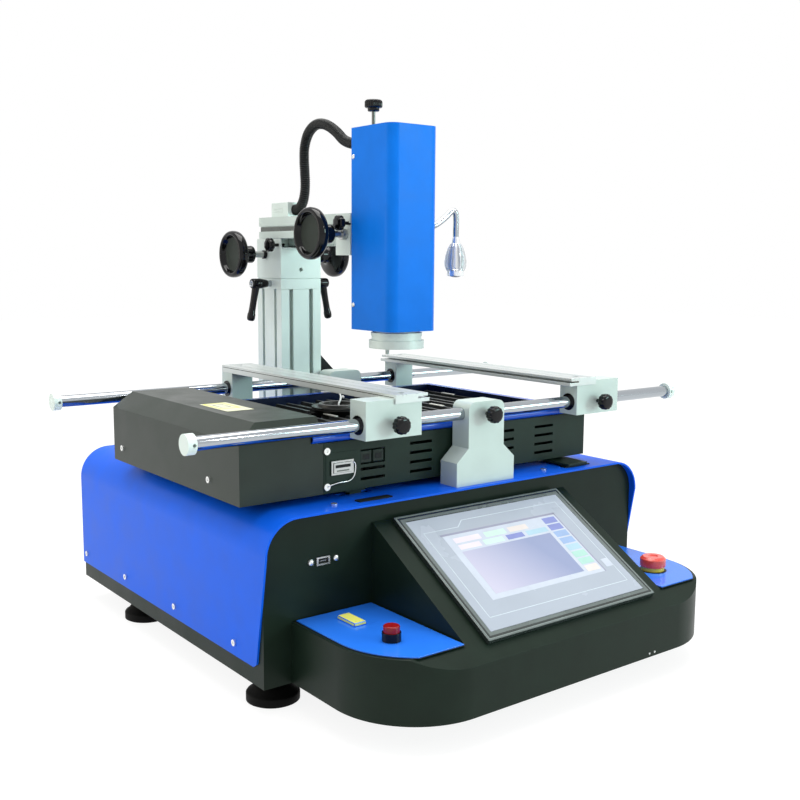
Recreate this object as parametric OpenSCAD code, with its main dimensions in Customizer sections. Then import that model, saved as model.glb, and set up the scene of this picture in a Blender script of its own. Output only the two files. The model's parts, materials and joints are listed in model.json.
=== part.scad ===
// Bench rework station: a hot-air head on a column over a sliding infrared preheater
// Millimetres. Built from the case's front middle on its underside, then centred by place()

/* [Case] */
// case width over the blue cover
case_w = 504; // [480:2:530]
// case depth, front edge of the cover to the rear panel
case_d = 446; // [440:2:480]
// height of the case's flat top above its underside
case_h = 160; // [150:1:180]
// radius of the cover's two long top edges
case_r = 35; // [20:1:45]
// height of the dark strip left under the cover's side skirts
skirt_z = 18; // [10:1:24]
// thickness of the folded cover and chassis sheet
sheet = 2; // [1.5:0.25:3]
// foot height
foot_h = 27; // [22:1:34]
// foot pad diameter
foot_d = 52; // [40:1:60]

/* [Console] */
// width of the control console
desk_w = 448; // [430:2:460]
// how far the console stands out in front of the cover
desk_out = 151; // [145:1:160]
// height of the console deck
desk_h = 59; // [54:1:66]
// radius of the console's two front corners
desk_r = 86; // [60:1:90]
// tilt of the screen face from level
screen_tilt = 30.5; // [28:0.5:33]
// width of the sloping screen housing
wedge_w = 265; // [255:1:272]
// operator screen bezel, width
screen_w = 226; // [210:1:236]
// operator screen bezel, height along the slope
screen_l = 163; // [150:1:168]

/* [Rails and clamps] */
// diameter of the two chrome rods
rod_d = 13; // [10:0.5:16]
// length of each rod
rod_len = 646; // [600:2:680]
// distance between the two rods
rod_pitch = 325.5; // [320:0.5:335]
// height of the rods' middle above the case's underside
rod_z = 234; // [230:1:240]
// diameter of the end caps on the rods
cap_d = 19; // [18:0.5:24]
// running clearance on the rods, on radius
rod_fit = 0.06; // [0.02:0.01:0.1]
// width of each board clamp bar
bar_w = 42; // [34:1:46]
// height of the board groove along each clamp bar
board_slot = 2; // [1.5:0.5:3]

/* [Preheater] */
// preheater length, left to right
heat_w = 456; // [446:2:462]
// preheater depth, front to back
heat_d = 289; // [280:1:290]
// height of the preheater's front wall
heat_h = 50; // [44:1:54]
// gap between the preheater and the case top
heat_gap = 7; // [5:0.5:10]
// height of the chamfered end cover
cover_h = 75; // [70:1:78]
// width of the chamfered end cover
cover_w = 91; // [80:1:100]
// number of infrared heater plates
heaters = 6; // [4:1:8]

/* [Column and arm] */
// side of the square slotted column
col_w = 60; // [50:1:64]
// height of the column
col_h = 193; // [180:1:220]
// length of the arm beam behind its front block
arm_l = 178; // [170:1:200]
// arm height
arm_h = 27; // [24:1:32]
// diameter of the hand wheels
wheel_d = 59; // [50:1:60]
// drive shaft diameter
shaft_d = 8; // [6:0.5:10]
// running clearance of the drive shafts, on radius
shaft_fit = 0.06; // [0.02:0.01:0.1]

/* [Head] */
// head width
head_w = 68; // [60:1:72]
// head depth
head_d = 74; // [66:1:76]
// head height
head_h = 226; // [200:2:240]
// radius of the head's front corners
head_r = 12; // [6:1:16]
// outer diameter of the hot-air nozzle's lower ring
nozzle_d = 63; // [50:1:66]

/* [Hidden] */
$fn = 48;
e = 0.05;
rod_mid_x = 6;
desk_mid_x = 4;
screen_mid_x = 6;
post_x = 18;
rear_post_x = 64;
col_x = 14;
in_y = 8;
rod_y0 = 19.5;
rod_y1 = rod_y0 + rod_pitch;
block_t = 26;
post_z1 = rod_z + 13;
block_w = 68;
rear_block_w = 28;
right_rear_x = 40;
right_bar_x = 5.5;
stem_d = 4;
stem_bore = 4.3;
block_z0 = rod_z - 14;
bar_z0 = rod_z + 19.5;
bar_z1 = rod_z + 28;
bar_y0 = rod_y0 - block_t / 2 - 2;
bar_y1 = rod_y1 + block_t / 2;
heat_z0 = case_h + heat_gap;
heat_x0 = -257;
heat_x1 = heat_x0 + heat_w;
heat_y0 = 36;
heat_y1 = heat_y0 + heat_d;
plate_z = heat_z0 + 38;
lip_d = 9;
heat_z1 = heat_z0 + heat_h;
lip_z = heat_z1 + 5;
frame_in = 9;
frame_wall = 2;
bracket_x = [-120, 164];
cover_x1 = heat_x0 + cover_w;
cover_z1 = heat_z0 + cover_h;
tray_screw_x = cover_x1 + 3.5;
tray_screw_z = [heat_z0 + 7, heat_z0 + 42];
socket_x = -143;
window_x = -107;
socket_z = heat_z0 + 31.5;
noz_x = -29;
noz_y = 212;
col_y0 = rod_y1 + 15;
col_y = col_y0 + col_w / 2;
cap_z0 = case_h + col_h;
cap_t = 14;
saddle_z0 = cap_z0 + cap_t;
saddle_h = 50;
arm_z0 = saddle_z0 + saddle_h + 0.3;
arm_z1 = arm_z0 + arm_h;
slide_t = 7.6;
rack_t = 3.5;
mesh_gap = 0.2;
reach_r = 10.3;
lift_r = 7.6;
head_y1 = col_y0 - 162;
arm_y0 = head_y1 + slide_t + 0.4;
arm_in = 30;
arm_x0 = col_x - col_w / 2;
arm_w = 56;
y_shaft_y = col_y + 8;
y_shaft_z = saddle_z0 + 30;
arm_rack_z = y_shaft_z + reach_r + mesh_gap;
z_shaft_y = head_y1 + 0.1 + slide_t + rack_t + mesh_gap + lift_r;
z_shaft_z = arm_z0 + 3;
wheel_out = 50;
lock_z = saddle_z0 + 42;
lift_lock_y = arm_y0 + 5;
lift_lock_z = arm_z0 + 15.5;
head_x0 = col_x - head_w / 2;
head_x1 = col_x + head_w / 2;
head_y0 = head_y1 - head_d;
head_z0 = 312;
head_z1 = head_z0 + head_h;
air_y = head_y1 - 41;
knob_x = -4;
knob_y = head_y1 - 20;
lamp_x = 108;
lamp_y = head_y1 - 33;
lamp_z = 430;
bell_z = 380;
lever_y = col_y - 3;
lock_in = 7;
hose_x = -4;
hose_z = 524;
hose_in_z = 453;
hose_end_x = 2;
box_y0 = 352;
box_l = 40;
box_h = 18;
clamp_l = -103;
clamp_r = 187.5;
slope = tan(screen_tilt);
desk_break = 130;
screen_y = -65.9;
wedge_z = desk_h + (in_y + desk_break) * slope;
front_z = desk_h - (desk_out - desk_break) * slope;
inlet_t = 2.5;
mid_y = (case_d + e + inlet_t - desk_out) / 2;
side_screw_y = [59, 188, case_d - 131, case_d - 14];
deck_z = desk_h + 1.4;
start_x = -176;
start_y = -87;
stop_x = 178;
stop_y = -88;
hose_d = 12.6;
hose_sides = 12;
// route of the corrugated air hose from the head's collar into the box on the arm
hose_path = [[-4, 208, 524], [-4, 220, 524], [-4, 236, 529], [-3, 252, 539], [-2, 268, 547], [-1, 284, 552],
  [0, 300, 553], [1, 314, 549], [2, 325, 541], [2, 331, 528], [2, 332, 514], [2, 331, 500], [2, 330, 486],
  [2, 331, 474], [2, 335, 463], [2, 342, 456], [2, 351, 453], [2, 358, 453]];

grey = [0.27, 0.27, 0.25];
blue = [0.13, 0.38, 0.90];
silver = [0.83, 0.85, 0.84];
steel = [0.75, 0.76, 0.78];
black = [0.06, 0.06, 0.07];

// moves the machine so its box is centred over the origin and stands on it
module place() {
  translate([-rod_mid_x, -mid_y, foot_h]) children();
}

// outline of the case, seen from the front, inset all round by t
module case_outline(t) {
  r = case_r - t;
  w = case_w - 2 * t;
  h = case_h - t;
  translate([-w / 2, 0]) square([w, h - r]);
  translate([-w / 2 + r, 0]) square([w - 2 * r, h]);
  for (s = [-1, 1]) translate([s * (w / 2 - r), h - r]) circle(r = r, $fn = 64);
}

// stands a front-view outline up and draws it from y0 back to y1
module slab_y(y0, y1) {
  translate([0, y1, 0]) rotate([90, 0, 0]) linear_extrude(height = y1 - y0) children();
}

// draws a side-view outline (y, z) from x0 to x1
module slab_x(x0, x1) {
  translate([x0, 0, 0]) rotate([90, 0, 90]) linear_extrude(height = x1 - x0) children();
}

// a rod or bore along X
module bar_x(x0, x1, y, z, d) {
  translate([x0, y, z]) rotate([0, 90, 0]) cylinder(d = d, h = x1 - x0);
}

// a rod or bore along Y
module bar_y(x, y0, y1, z, d) {
  translate([x, y0, z]) rotate([-90, 0, 0]) cylinder(d = d, h = y1 - y0);
}

// pan-head screw whose axis runs along -Y
module screw_front(x, y, z, d) {
  difference() {
    bar_y(x, y - 2, y + 6, z, d);
    bar_y(x, y - 3, y - 1, z, d * 0.4);
    difference() {
      bar_y(x, y, y + 7, z, d + 1);
      bar_y(x, y - 1, y + 8, z, d * 0.5);
    }
  }
}

// pan-head screw whose axis runs along -X
module screw_left(x, y, z, d) {
  difference() {
    bar_x(x - 2, x + 6, y, z, d);
    bar_x(x - 3, x - 1, y, z, d * 0.4);
    difference() {
      bar_x(x, x + 7, y, z, d + 1);
      bar_x(x - 1, x + 8, y, z, d * 0.5);
    }
  }
}

// clearance holes for the screws that hold the cover's sides to the chassis
module side_holes() {
  for (y = side_screw_y) for (s = [-1, 1])
    bar_x(s * (case_w / 2 - 4) - 5, s * (case_w / 2 - 4) + 5, y, 31, 3.4);
}

// inner chassis: floor, front panel, rear panel and low side flanges
module chassis() {
  color(grey)
  difference() {
    union() {
      translate([-case_w / 2 + sheet, in_y, 0]) cube([case_w - 2 * sheet, case_d - in_y, sheet]);
      for (s = [-1, 1]) translate([s * (case_w / 2 - 1.5 * sheet) - sheet / 2, in_y, 0])
        cube([sheet, case_d - in_y, 60]);
      slab_y(in_y, in_y + sheet) case_outline(sheet);
      slab_y(case_d - sheet, case_d) case_outline(sheet);
    }
    side_holes();
    translate([-193, in_y - 1, 107]) cube([16, sheet + 2, 9]);
    for (x = [-199, -171]) bar_y(x, in_y - 1, in_y + 5, 112, 3.2);
    translate([-desk_w / 2 + 40, in_y - 1, 12]) cube([desk_w - 80, sheet + 2, 40]);
    translate([-150, case_d - 5, 40]) cube([50, 10, 30]);
    for (i = [0:7]) translate([60, case_d - 5, 40 + i * 9]) cube([90, 10, 3]);
  }
}

// blue folded cover with two big rolled edges and slanted front ends
module top_cover() {
  color(blue)
  difference() {
    slab_y(0, case_d) difference() {
      case_outline(0);
      case_outline(sheet);
      translate([-case_w, -1]) square([2 * case_w, skirt_z + 1]);
    }
    slab_x(-case_w, case_w) polygon([[-1, case_h - case_r], [0, case_h - case_r], [18, skirt_z + 4],
      [24, skirt_z], [24, skirt_z - 4], [-1, skirt_z - 4]]);
    for (x = bracket_x) for (y = [12, 47, heat_y1 - 24]) translate([x - 20, y, case_h - 2 * sheet])
      cube([40, 9, 3 * sheet]);
    translate([col_x - 12, col_y - 12, case_h - 5]) cube([24, 24, 10]);
    side_holes();
  }
}

// screws of the case: the cover's side and top screws
module case_screws() {
  color(steel) {
    for (y = side_screw_y) {
      screw_left(-case_w / 2, y, 31, 6.4);
      mirror([1, 0, 0]) screw_left(-case_w / 2, y, 31, 6.4);
    }
    for (x = [-165, 116]) translate([x, 19, case_h]) cylinder(d = 6.5, h = 1.6);
  }
}

// four levelling feet: a rubber pad under a cone and a stud
module feet() {
  r = foot_d / 2;
  color(black)
  for (p = [[-220, 43], [-220, 331], [220, 43], [220, 331]]) translate([p[0], p[1], -foot_h]) rotate_extrude()
    polygon([[0, 0], [r - 1, 0], [r, 1], [r, 8], [r - 3, 9], [15, 18], [10, 18], [10, foot_h], [0, foot_h]]);
}

// plan outline of the console, inset by t
module desk_plan(t) {
  x0 = desk_mid_x - desk_w / 2 + t;
  x1 = desk_mid_x + desk_w / 2 - t;
  y0 = -desk_out + t;
  r = desk_r - t;
  intersection() {
    union() {
      translate([x0 + r, y0]) square([x1 - x0 - 2 * r, in_y - y0]);
      translate([x0, y0 + r]) square([x1 - x0, in_y - y0 - r]);
      for (x = [x0 + r, x1 - r]) translate([x, y0 + r]) circle(r = r, $fn = 96);
    }
    translate([x0, y0]) square([x1 - x0, in_y - y0 - e]);
  }
}

// solid console block lowered by t, with the sloping screen housing
module desk_block(t) {
  slab_x(-case_w, case_w) polygon([[20, -1], [-desk_out - 1, -1], [-desk_out - 1, front_z - slope - t],
    [-desk_break, desk_h - t], [20, desk_h - t]]);
  slab_x(desk_mid_x - wedge_w / 2 + t, desk_mid_x + wedge_w / 2 - t) polygon([[20, desk_h - t - 5],
    [-desk_break, desk_h - t - 5], [-desk_break, desk_h - t], [20, wedge_z + 12 * slope - t]]);
}

// control console: one shell with deck, screen slope and rounded front
module console() {
  wall = 3;
  color(grey)
  difference() {
    intersection() {
      linear_extrude(height = case_h) desk_plan(0);
      desk_block(0);
    }
    intersection() {
      translate([0, 0, -2]) linear_extrude(height = case_h) desk_plan(wall);
      desk_block(wall);
    }
    on_slope() translate([-screen_w / 2 + 9, -screen_l / 2 + 9, -9]) cube([screen_w - 18, screen_l - 18, 20]);
    translate([start_x, start_y, desk_h - 8]) cylinder(d = 16, h = 12);
    translate([stop_x, stop_y, desk_h - 8]) cylinder(d = 22, h = 12);
    translate([-182, -30, desk_h - 8]) cube([24, 16, 12]);
  }
}

// puts children on the screen slope, Z out of the slope
module on_slope() {
  translate([screen_mid_x, screen_y, desk_h + (desk_break + screen_y) * slope])
    rotate([screen_tilt, 0, 0]) children();
}

// left and right blue deck plates, mirrored
module deck_panels() {
  gap = 4;
  color(blue)
  for (s = [-1, 1]) difference() {
    intersection() {
      translate([0, 0, desk_h]) linear_extrude(height = 1.4) desk_plan(gap);
      translate([desk_mid_x + s * 182 - 50, -desk_break - 2, desk_h - 1]) cube([100, desk_break + in_y, 5]);
    }
    translate([desk_mid_x - wedge_w / 2 - 2, -200, desk_h - 2]) cube([wedge_w + 4, 300, 6]);
    translate([start_x, start_y, desk_h - 8]) cylinder(d = 16, h = 12);
    translate([stop_x, stop_y, desk_h - 8]) cylinder(d = 22, h = 12);
    translate([-182, -30, desk_h - 8]) cube([24, 16, 12]);
  }
}

// operator screen bezel and its body behind the slope
module screen_bezel() {
  color([0.23, 0.24, 0.24])
  on_slope() difference() {
    union() {
      translate([-screen_w / 2, -screen_l / 2, 0.05]) cube([screen_w, screen_l, 5]);
      translate([-screen_w / 2 + 10, -screen_l / 2 + 10, -24]) cube([screen_w - 20, screen_l - 20, 25]);
    }
    translate([-screen_w / 2 + 9, -screen_l / 2 + 9, 3.6]) cube([screen_w - 18, screen_l - 18, 5]);
    translate([-78, -41, 1]) cube([156, 88, 5]);
  }
}

// printed glass front of the screen, set into the bezel
module screen_glass() {
  color([0.42, 0.45, 0.47])
  on_slope() {
    translate([-screen_w / 2 + 9.1, -screen_l / 2 + 9.1, 3.65]) cube([screen_w - 18.2, screen_l - 18.2, 1.1]);
    translate([-77.8, -40.8, 1.05]) cube([155.6, 87.6, 2.8]);
  }
}

// yellow two-pin socket for the board's temperature probe
module probe_socket() {
  color([0.95, 0.82, 0.15])
  difference() {
    union() {
      translate([-183, -31, desk_h + 1.45]) cube([26, 18, 3]);
      translate([-181.8, -29.8, desk_h - 12]) cube([23.6, 15.6, 14]);
    }
    for (x = [-176, -166]) translate([x - 1, -26, desk_h - 6]) cube([3, 7, 12]);
  }
}

// black collar that guides the start button
module button_collar() {
  color(black)
  translate([start_x, start_y, 0]) difference() {
    union() {
      translate([0, 0, deck_z + e]) cylinder(d = 17.4, h = 8);
      translate([0, 0, desk_h - 22]) cylinder(d = 15.9, h = 24);
    }
    translate([0, 0, desk_h - 16]) cylinder(d = 13, h = 30);
    translate([0, 0, deck_z + 0.6]) cylinder(d = 15.6, h = 10);
  }
}

// red push button
module start_button() {
  color([0.75, 0.06, 0.05])
  translate([start_x, start_y, 0]) {
    translate([0, 0, deck_z + 5]) cylinder(d = 15, h = 8.2);
    translate([0, 0, deck_z + 13.2]) cylinder(d1 = 15, d2 = 13.4, h = 0.8);
    translate([0, 0, desk_h - 8]) cylinder(d = 12.88, h = 16);
  }
}

// yellow ring and body of the emergency stop
module estop_base() {
  color([0.96, 0.78, 0.10])
  translate([stop_x, stop_y, 0]) difference() {
    union() {
      translate([0, 0, deck_z + e]) cylinder(d = 24.5, h = 8);
      translate([0, 0, desk_h - 30]) cylinder(d = 21.9, h = 32);
    }
    translate([0, 0, desk_h - 20]) cylinder(d = 14.1, h = 40);
  }
}

// red mushroom of the emergency stop, its skirt over the yellow ring
module estop_button() {
  color([0.80, 0.10, 0.08])
  translate([stop_x, stop_y, 0]) {
    translate([0, 0, desk_h - 12]) cylinder(d = 14, h = 26);
    translate([0, 0, deck_z + 4.7]) difference() {
      union() {
        cylinder(d = 27.4, h = 8.3);
        translate([0, 0, 8.3]) cylinder(d1 = 27.4, d2 = 22, h = 2.5);
      }
      translate([0, 0, -1]) cylinder(d = 25.1, h = 8.8);
      translate([0, 0, 9.8]) cylinder(d = 10, h = 3);
    }
  }
}

// data socket in the front panel with its two screws
module data_port() {
  color(steel)
  difference() {
    union() {
      translate([-192.5, in_y - 0.8, 107.5]) cube([15, 12, 8]);
      for (x = [-199, -171]) bar_y(x, in_y - 1.6, in_y + 4, 112, 3.1);
      for (x = [-199, -171]) bar_y(x, in_y - 1.6, in_y - 0.05, 112, 6);
    }
    translate([-190.5, in_y - 2, 109]) cube([11, 9, 5]);
    for (x = [-199, -171]) bar_y(x, in_y - 2, in_y - 0.9, 112, 2.4);
  }
}

// mains inlet in the rear panel, a bare socket with three pins
module power_inlet() {
  color(black)
  difference() {
    union() {
      translate([-149, case_d - 22, 41]) cube([48, 22, 28]);
      translate([-153, case_d + e, 37]) cube([56, inlet_t, 36]);
    }
    translate([-138, case_d - 16, 45]) cube([26, 22, 20]);
  }
}

// internal switched power supply, a perforated box
module power_supply() {
  color(silver)
  difference() {
    translate([-190, 250, sheet + 0.1]) cube([200, 100, 48]);
    translate([-188.5, 251.5, sheet + 1.6]) cube([197, 97, 45]);
    for (i = [0:9]) translate([-180 + i * 19, 249, 16]) cube([10, 4, 20]);
  }
}

// internal control board with relays and terminals
module control_board() {
  color([0.10, 0.35, 0.20]) {
    translate([-60, 60, 24]) cube([200, 130, 2]);
    for (p = [[-56, 64], [130, 64], [-56, 180], [130, 180]]) translate([p[0], p[1], sheet + 0.1])
      cylinder(d = 6, h = 22);
    for (i = [0:3]) translate([-40 + i * 34, 150, 26]) cube([24, 30, 18]);
    translate([-40, 72, 26]) cube([150, 12, 14]);
  }
}

// the two posts that carry the rods, shaped alike: base, sloped shoulders, bored round-cornered head
module rail_posts() {
  base = 40;
  head = 24.5;
  r = 8;
  color(silver)
  for (p = [[post_x, rod_y0, -1], [rear_post_x, rod_y1, 1]]) difference() {
    slab_y(p[1] - block_t / 2, p[1] + block_t / 2) translate([p[0], 0]) {
      polygon([[-base, case_h + e], [base, case_h + e], [base, case_h + 25], [head, case_h + 39],
        [head, post_z1 - r], [-head, post_z1 - r], [-head, case_h + 39], [-base, case_h + 25]]);
      translate([r - head, case_h + 39]) square([2 * (head - r), post_z1 - case_h - 39]);
      for (s = [-1, 1]) translate([s * (head - r), post_z1 - r]) circle(r = r);
    }
    bar_x(p[0] - base - 1, p[0] + base + 1, p[1], rod_z, rod_d + 2 * rod_fit);
    bar_y(p[0], p[1] + min(0, p[2] * 20), p[1] + max(0, p[2] * 20), rod_z, stem_bore);
  }
}

// the two chrome rods
module rods() {
  color([0.86, 0.88, 0.90])
  for (y = [rod_y0, rod_y1]) bar_x(rod_mid_x - rod_len / 2, rod_mid_x + rod_len / 2, y, rod_z, rod_d);
}

// four end caps, each with a set-screw hole
module rod_caps() {
  inner = rod_len / 2 - 6.5;
  color(silver)
  for (y = [rod_y0, rod_y1]) for (s = [-1, 1]) difference() {
    bar_x(rod_mid_x + min(s * inner, s * (inner + 8.5)), rod_mid_x + max(s * inner, s * (inner + 8.5)), y,
      rod_z, cap_d);
    bar_x(rod_mid_x - rod_len / 2 - e, rod_mid_x + rod_len / 2 + e, y, rod_z, rod_d + 0.04);
    bar_y(rod_mid_x + s * (inner + 2.8), y - 12, y - 3, rod_z, 3.4);
  }
}

// fluted knob with a thin stem, axis along Y: side -1 points the knob to the front, 1 to the back
module star_knob(x, y, z, side) {
  translate([x, y, z]) rotate([side > 0 ? -90 : 90, 0, 0]) difference() {
    union() {
      cylinder(d = stem_d, h = 14);
      translate([0, 0, 13]) cylinder(d1 = 15, d2 = 18, h = 1.5);
      translate([0, 0, 14.5]) cylinder(d = 18, h = 7);
      translate([0, 0, 21.5]) cylinder(d1 = 18, d2 = 14, h = 2);
    }
    for (a = [0:30:330]) rotate([0, 0, a]) translate([10, 0, 12]) cylinder(d = 3.4, h = 13, $fn = 16);
  }
}

// board clamp bar for the left clamp, or mirrored for the right one
// outer edge at x = 0, board groove open at x = bar_w
module clamp_bar() {
  jaw = bar_z0 + 3.5;
  inner = bar_w - 14;
  screw_x = bar_w / 2 - 3;
  color(silver)
  difference() {
    slab_y(bar_y0, bar_y1) polygon([[0, bar_z0 + e], [bar_w, bar_z0 + e], [bar_w, jaw], [inner, jaw],
      [inner, jaw + board_slot], [bar_w - 2, jaw + board_slot], [bar_w - 2, bar_z1], [0, bar_z1]]);
    for (x = [8, 12.5, 26]) translate([x, bar_y0 - 1, bar_z1 - 0.8]) cube([1.4, bar_y1 - bar_y0 + 2, 3]);
    for (y = [rod_y0, rod_y1]) translate([screw_x, y, bar_z1 - 4]) cylinder(d = 7, h = 6);
    for (y = [rod_y0, rod_y1]) translate([screw_x, y, bar_z0 - 1]) cylinder(d = 4, h = 20);
  }
}

// front block of a board clamp, cut away where the bar rests
module clamp_block_front(x0, b0, b1) {
  color(silver)
  difference() {
    translate([x0, rod_y0 - block_t / 2, block_z0]) cube([block_w, block_t, rod_z + 24 - block_z0]);
    translate([b0, rod_y0 - block_t, bar_z0]) cube([b1 - b0, 2 * block_t, 40]);
    bar_x(x0 - 1, x0 + block_w + 1, rod_y0, rod_z, 19.04);
    bar_y(x0 + block_w / 2, -10, rod_y0, rod_z, stem_bore);
  }
}

// rear block of a board clamp
module clamp_block_rear(x0) {
  color(silver)
  difference() {
    translate([x0, rod_y1 - block_t / 2, block_z0]) cube([rear_block_w, block_t - 0.5, bar_z0 - block_z0]);
    bar_x(x0 - 1, x0 + rear_block_w + 1, rod_y1, rod_z, 19.04);
  }
}

// black sleeves pressed into the blocks, running on the rods
module clamp_sleeve(x0, w, y) {
  color(black)
  difference() {
    bar_x(x0 - 0.8, x0 + w + 0.8, y, rod_z, 19);
    bar_x(x0 - 2, x0 + w + 2, y, rod_z, rod_d + 2 * rod_fit);
    if (y < col_y0 / 2) bar_y(x0 + w / 2, -10, y, rod_z, stem_bore);
  }
}

module bar_left() {
  translate([clamp_l, 0, 0]) clamp_bar();
}

module bar_right() {
  translate([clamp_r - right_bar_x, 0, 0]) mirror([1, 0, 0]) clamp_bar();
}

module blocks_left() {
  clamp_block_front(clamp_l - block_w / 2, clamp_l - 0.1, clamp_l + bar_w + 0.1);
  clamp_block_rear(clamp_l);
}

module blocks_right() {
  b1 = clamp_r - right_bar_x + 0.1;
  clamp_block_front(clamp_r - block_w / 2, b1 - bar_w - 0.2, b1);
  clamp_block_rear(clamp_r - right_rear_x);
}

module sleeves_left() {
  clamp_sleeve(clamp_l - block_w / 2, block_w, rod_y0);
  clamp_sleeve(clamp_l, rear_block_w, rod_y1);
}

module sleeves_right() {
  clamp_sleeve(clamp_r - block_w / 2, block_w, rod_y0);
  clamp_sleeve(clamp_r - right_rear_x, rear_block_w, rod_y1);
}

module lock_knob_left() {
  color(black) star_knob(clamp_l, rod_y0 - rod_d / 2 - e, rod_z, -1);
}

module lock_knob_right() {
  color(black) star_knob(clamp_r, rod_y0 - rod_d / 2 - e, rod_z, -1);
}

module rod_lock_front() {
  color(black) star_knob(post_x, rod_y0 - rod_d / 2 - e, rod_z, -1);
}

module rod_lock_rear() {
  color(black) star_knob(rear_post_x, rod_y1 + rod_d / 2 + e, rod_z, 1);
}

// dark sheet tray that holds the heaters, with vents and openings in its front wall
module heater_tray() {
  tray_brackets();
  x0 = cover_x1 + 0.2;
  vent_z = heat_z0 + 8;
  pitch = 9.8;
  color(grey)
  difference() {
    union() {
      difference() {
        translate([x0, heat_y0, heat_z0]) cube([heat_x1 - x0, heat_d, heat_h]);
        translate([x0 - 1, heat_y0 + sheet, heat_z0 + sheet])
          cube([heat_x1 - x0 + 1 - sheet, heat_d - 2 * sheet, 80]);
      }
      translate([heat_x0 + 12, heat_y0 + 12, heat_z0 + sheet + 0.2]) cube([cover_w, heat_d - 24, sheet]);
    }
    translate([socket_x - 12, heat_y0 - 1, socket_z - 7.5]) cube([24, 6, 15]);
    translate([window_x - 15, heat_y0 - 1, socket_z - 7.5]) cube([30, 6, 15]);
    for (i = [0, 1]) translate([window_x - 15, heat_y0 - 1, vent_z + i * pitch]) cube([30, 6, 3]);
    for (x = [-60, 57, 118]) for (i = [0:3]) {
      translate([x, heat_y0 - 1, vent_z + i * pitch]) cube([29, 6, 3]);
      translate([x, heat_y1 - 5, vent_z + i * pitch]) cube([29, 6, 3]);
    }
    for (z = tray_screw_z) bar_y(tray_screw_x, heat_y0 - 1, heat_y0 + 5, z, 3.7);
    translate([noz_x, noz_y, heat_z0 - 1]) cylinder(d = 40, h = 8);
  }
}

// feet of the tray that run in slots of the case top; a flat plate reaches forward at the right front
module tray_brackets() {
  plate = 2.5;
  up = heat_gap - 2.1;
  front_y = 47.5;
  rear_y = heat_y1 - 23.5;
  color(black) {
    for (x = bracket_x) translate([x - 7, rear_y, case_h - 5]) cube([14, 8, heat_gap + 4.9]);
    for (x = bracket_x) translate([x - 12, rear_y - 20, case_h + 2]) cube([24, 32, up]);
    for (x = bracket_x) translate([x - 12, front_y, case_h + 2]) cube([24, 8, up]);
    for (x = bracket_x) translate([x - 7, front_y, case_h - 5]) cube([14, 8, heat_gap + 4.9]);
    translate([bracket_x[1] - 26, 9, case_h + 2]) cube([52, 46, plate]);
  }
}

// front-view outline of the end cover, inset by t
module cover_outline(t) {
  polygon([[heat_x0 + t, heat_z0 + t], [cover_x1, heat_z0 + t], [cover_x1, cover_z1 - t],
    [heat_x0 + 23 + t * 0.5, cover_z1 - t], [heat_x0 + t, cover_z1 - 16 - t * 0.5]]);
}

// end cover of the preheater with a chamfer along its left and front edges
module end_cover() {
  color(grey)
  difference() {
    slab_y(heat_y0, heat_y1) cover_outline(0);
    difference() {
      slab_y(heat_y0 + sheet, heat_y1 - sheet) cover_outline(sheet);
      slab_x(-400, 0) polygon([[heat_y0 - 9 + sheet, cover_z1 - 28],
        [heat_y0 + 13 + sheet, cover_z1 + 0.4 - sheet], [heat_y0 + 13, cover_z1 + 9],
        [heat_y0 - 9, cover_z1 + 9]]);
    }
    slab_x(-400, 0) polygon([[heat_y0 - 1, cover_z1 - 16], [heat_y0, cover_z1 - 16], [heat_y0 + 12, cover_z1],
      [heat_y0 + 12, cover_z1 + 1], [heat_y0 - 1, cover_z1 + 1]]);
    translate([-180, heat_y0 - 1, lip_z - 5]) cube([20, 8, 11]);
    for (y = [95, 300]) bar_x(heat_x0 - 1, heat_x0 + 5, y, 183, 3.3);
  }
}

// blue frame over the heaters: flat flange, inner wall and rolled front lip
module heater_frame() {
  x0 = cover_x1 + 0.2;
  z0 = heat_z1 + 0.1;
  in_x = heat_x1 - frame_in;
  y0 = heat_y0 + 2;
  front = heat_y0 + frame_in + 2;
  rear = heat_y1 - frame_in;
  color(blue)
  difference() {
    union() {
      translate([x0, y0, z0]) cube([heat_x1 - x0, heat_y1 - y0, lip_z - z0]);
      translate([x0, front - frame_wall, heat_z1 - 10])
        cube([in_x + frame_wall - x0, rear - front + 2 * frame_wall, 12]);
      bar_x(-179, heat_x1 - 28, heat_y0 + 1.6, lip_z, lip_d);
    }
    translate([x0 - 1, front, heat_z1 - 20]) cube([in_x - x0 + 1, rear - front, 60]);
    bar_x(-180, heat_x1, heat_y0 + 1.6, lip_z, lip_d - 2.4);
  }
}

// infrared heater plates on studs, cut back round the lower nozzle
module ir_heaters() {
  x0 = cover_x1 + 4;
  y0 = heat_y0 + frame_in + 5;
  depth = heat_y1 - frame_in - 3 - y0;
  step = (heat_x1 - frame_in - 1 - x0) / heaters;
  stud_z = heat_z0 + sheet + 0.3 - plate_z;
  rib = 4;
  color([0.24, 0.24, 0.23])
  difference() {
    for (i = [0:heaters - 1]) translate([x0 + i * step, y0, plate_z]) {
      cube([step - 3, depth, 6]);
      for (k = [0:2]) translate([rib + k * (step - 3 - 3 * rib) / 2, 4, 6]) cube([rib, depth - 8, 4]);
      for (k = [-90, 90]) translate([step / 2 - 1.5, depth / 2 + k, stud_z]) cylinder(d = 6, h = 1 - stud_z);
    }
    translate([noz_x, noz_y, heat_z0 + 6]) cylinder(d = 68, h = 80);
  }
}

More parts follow.
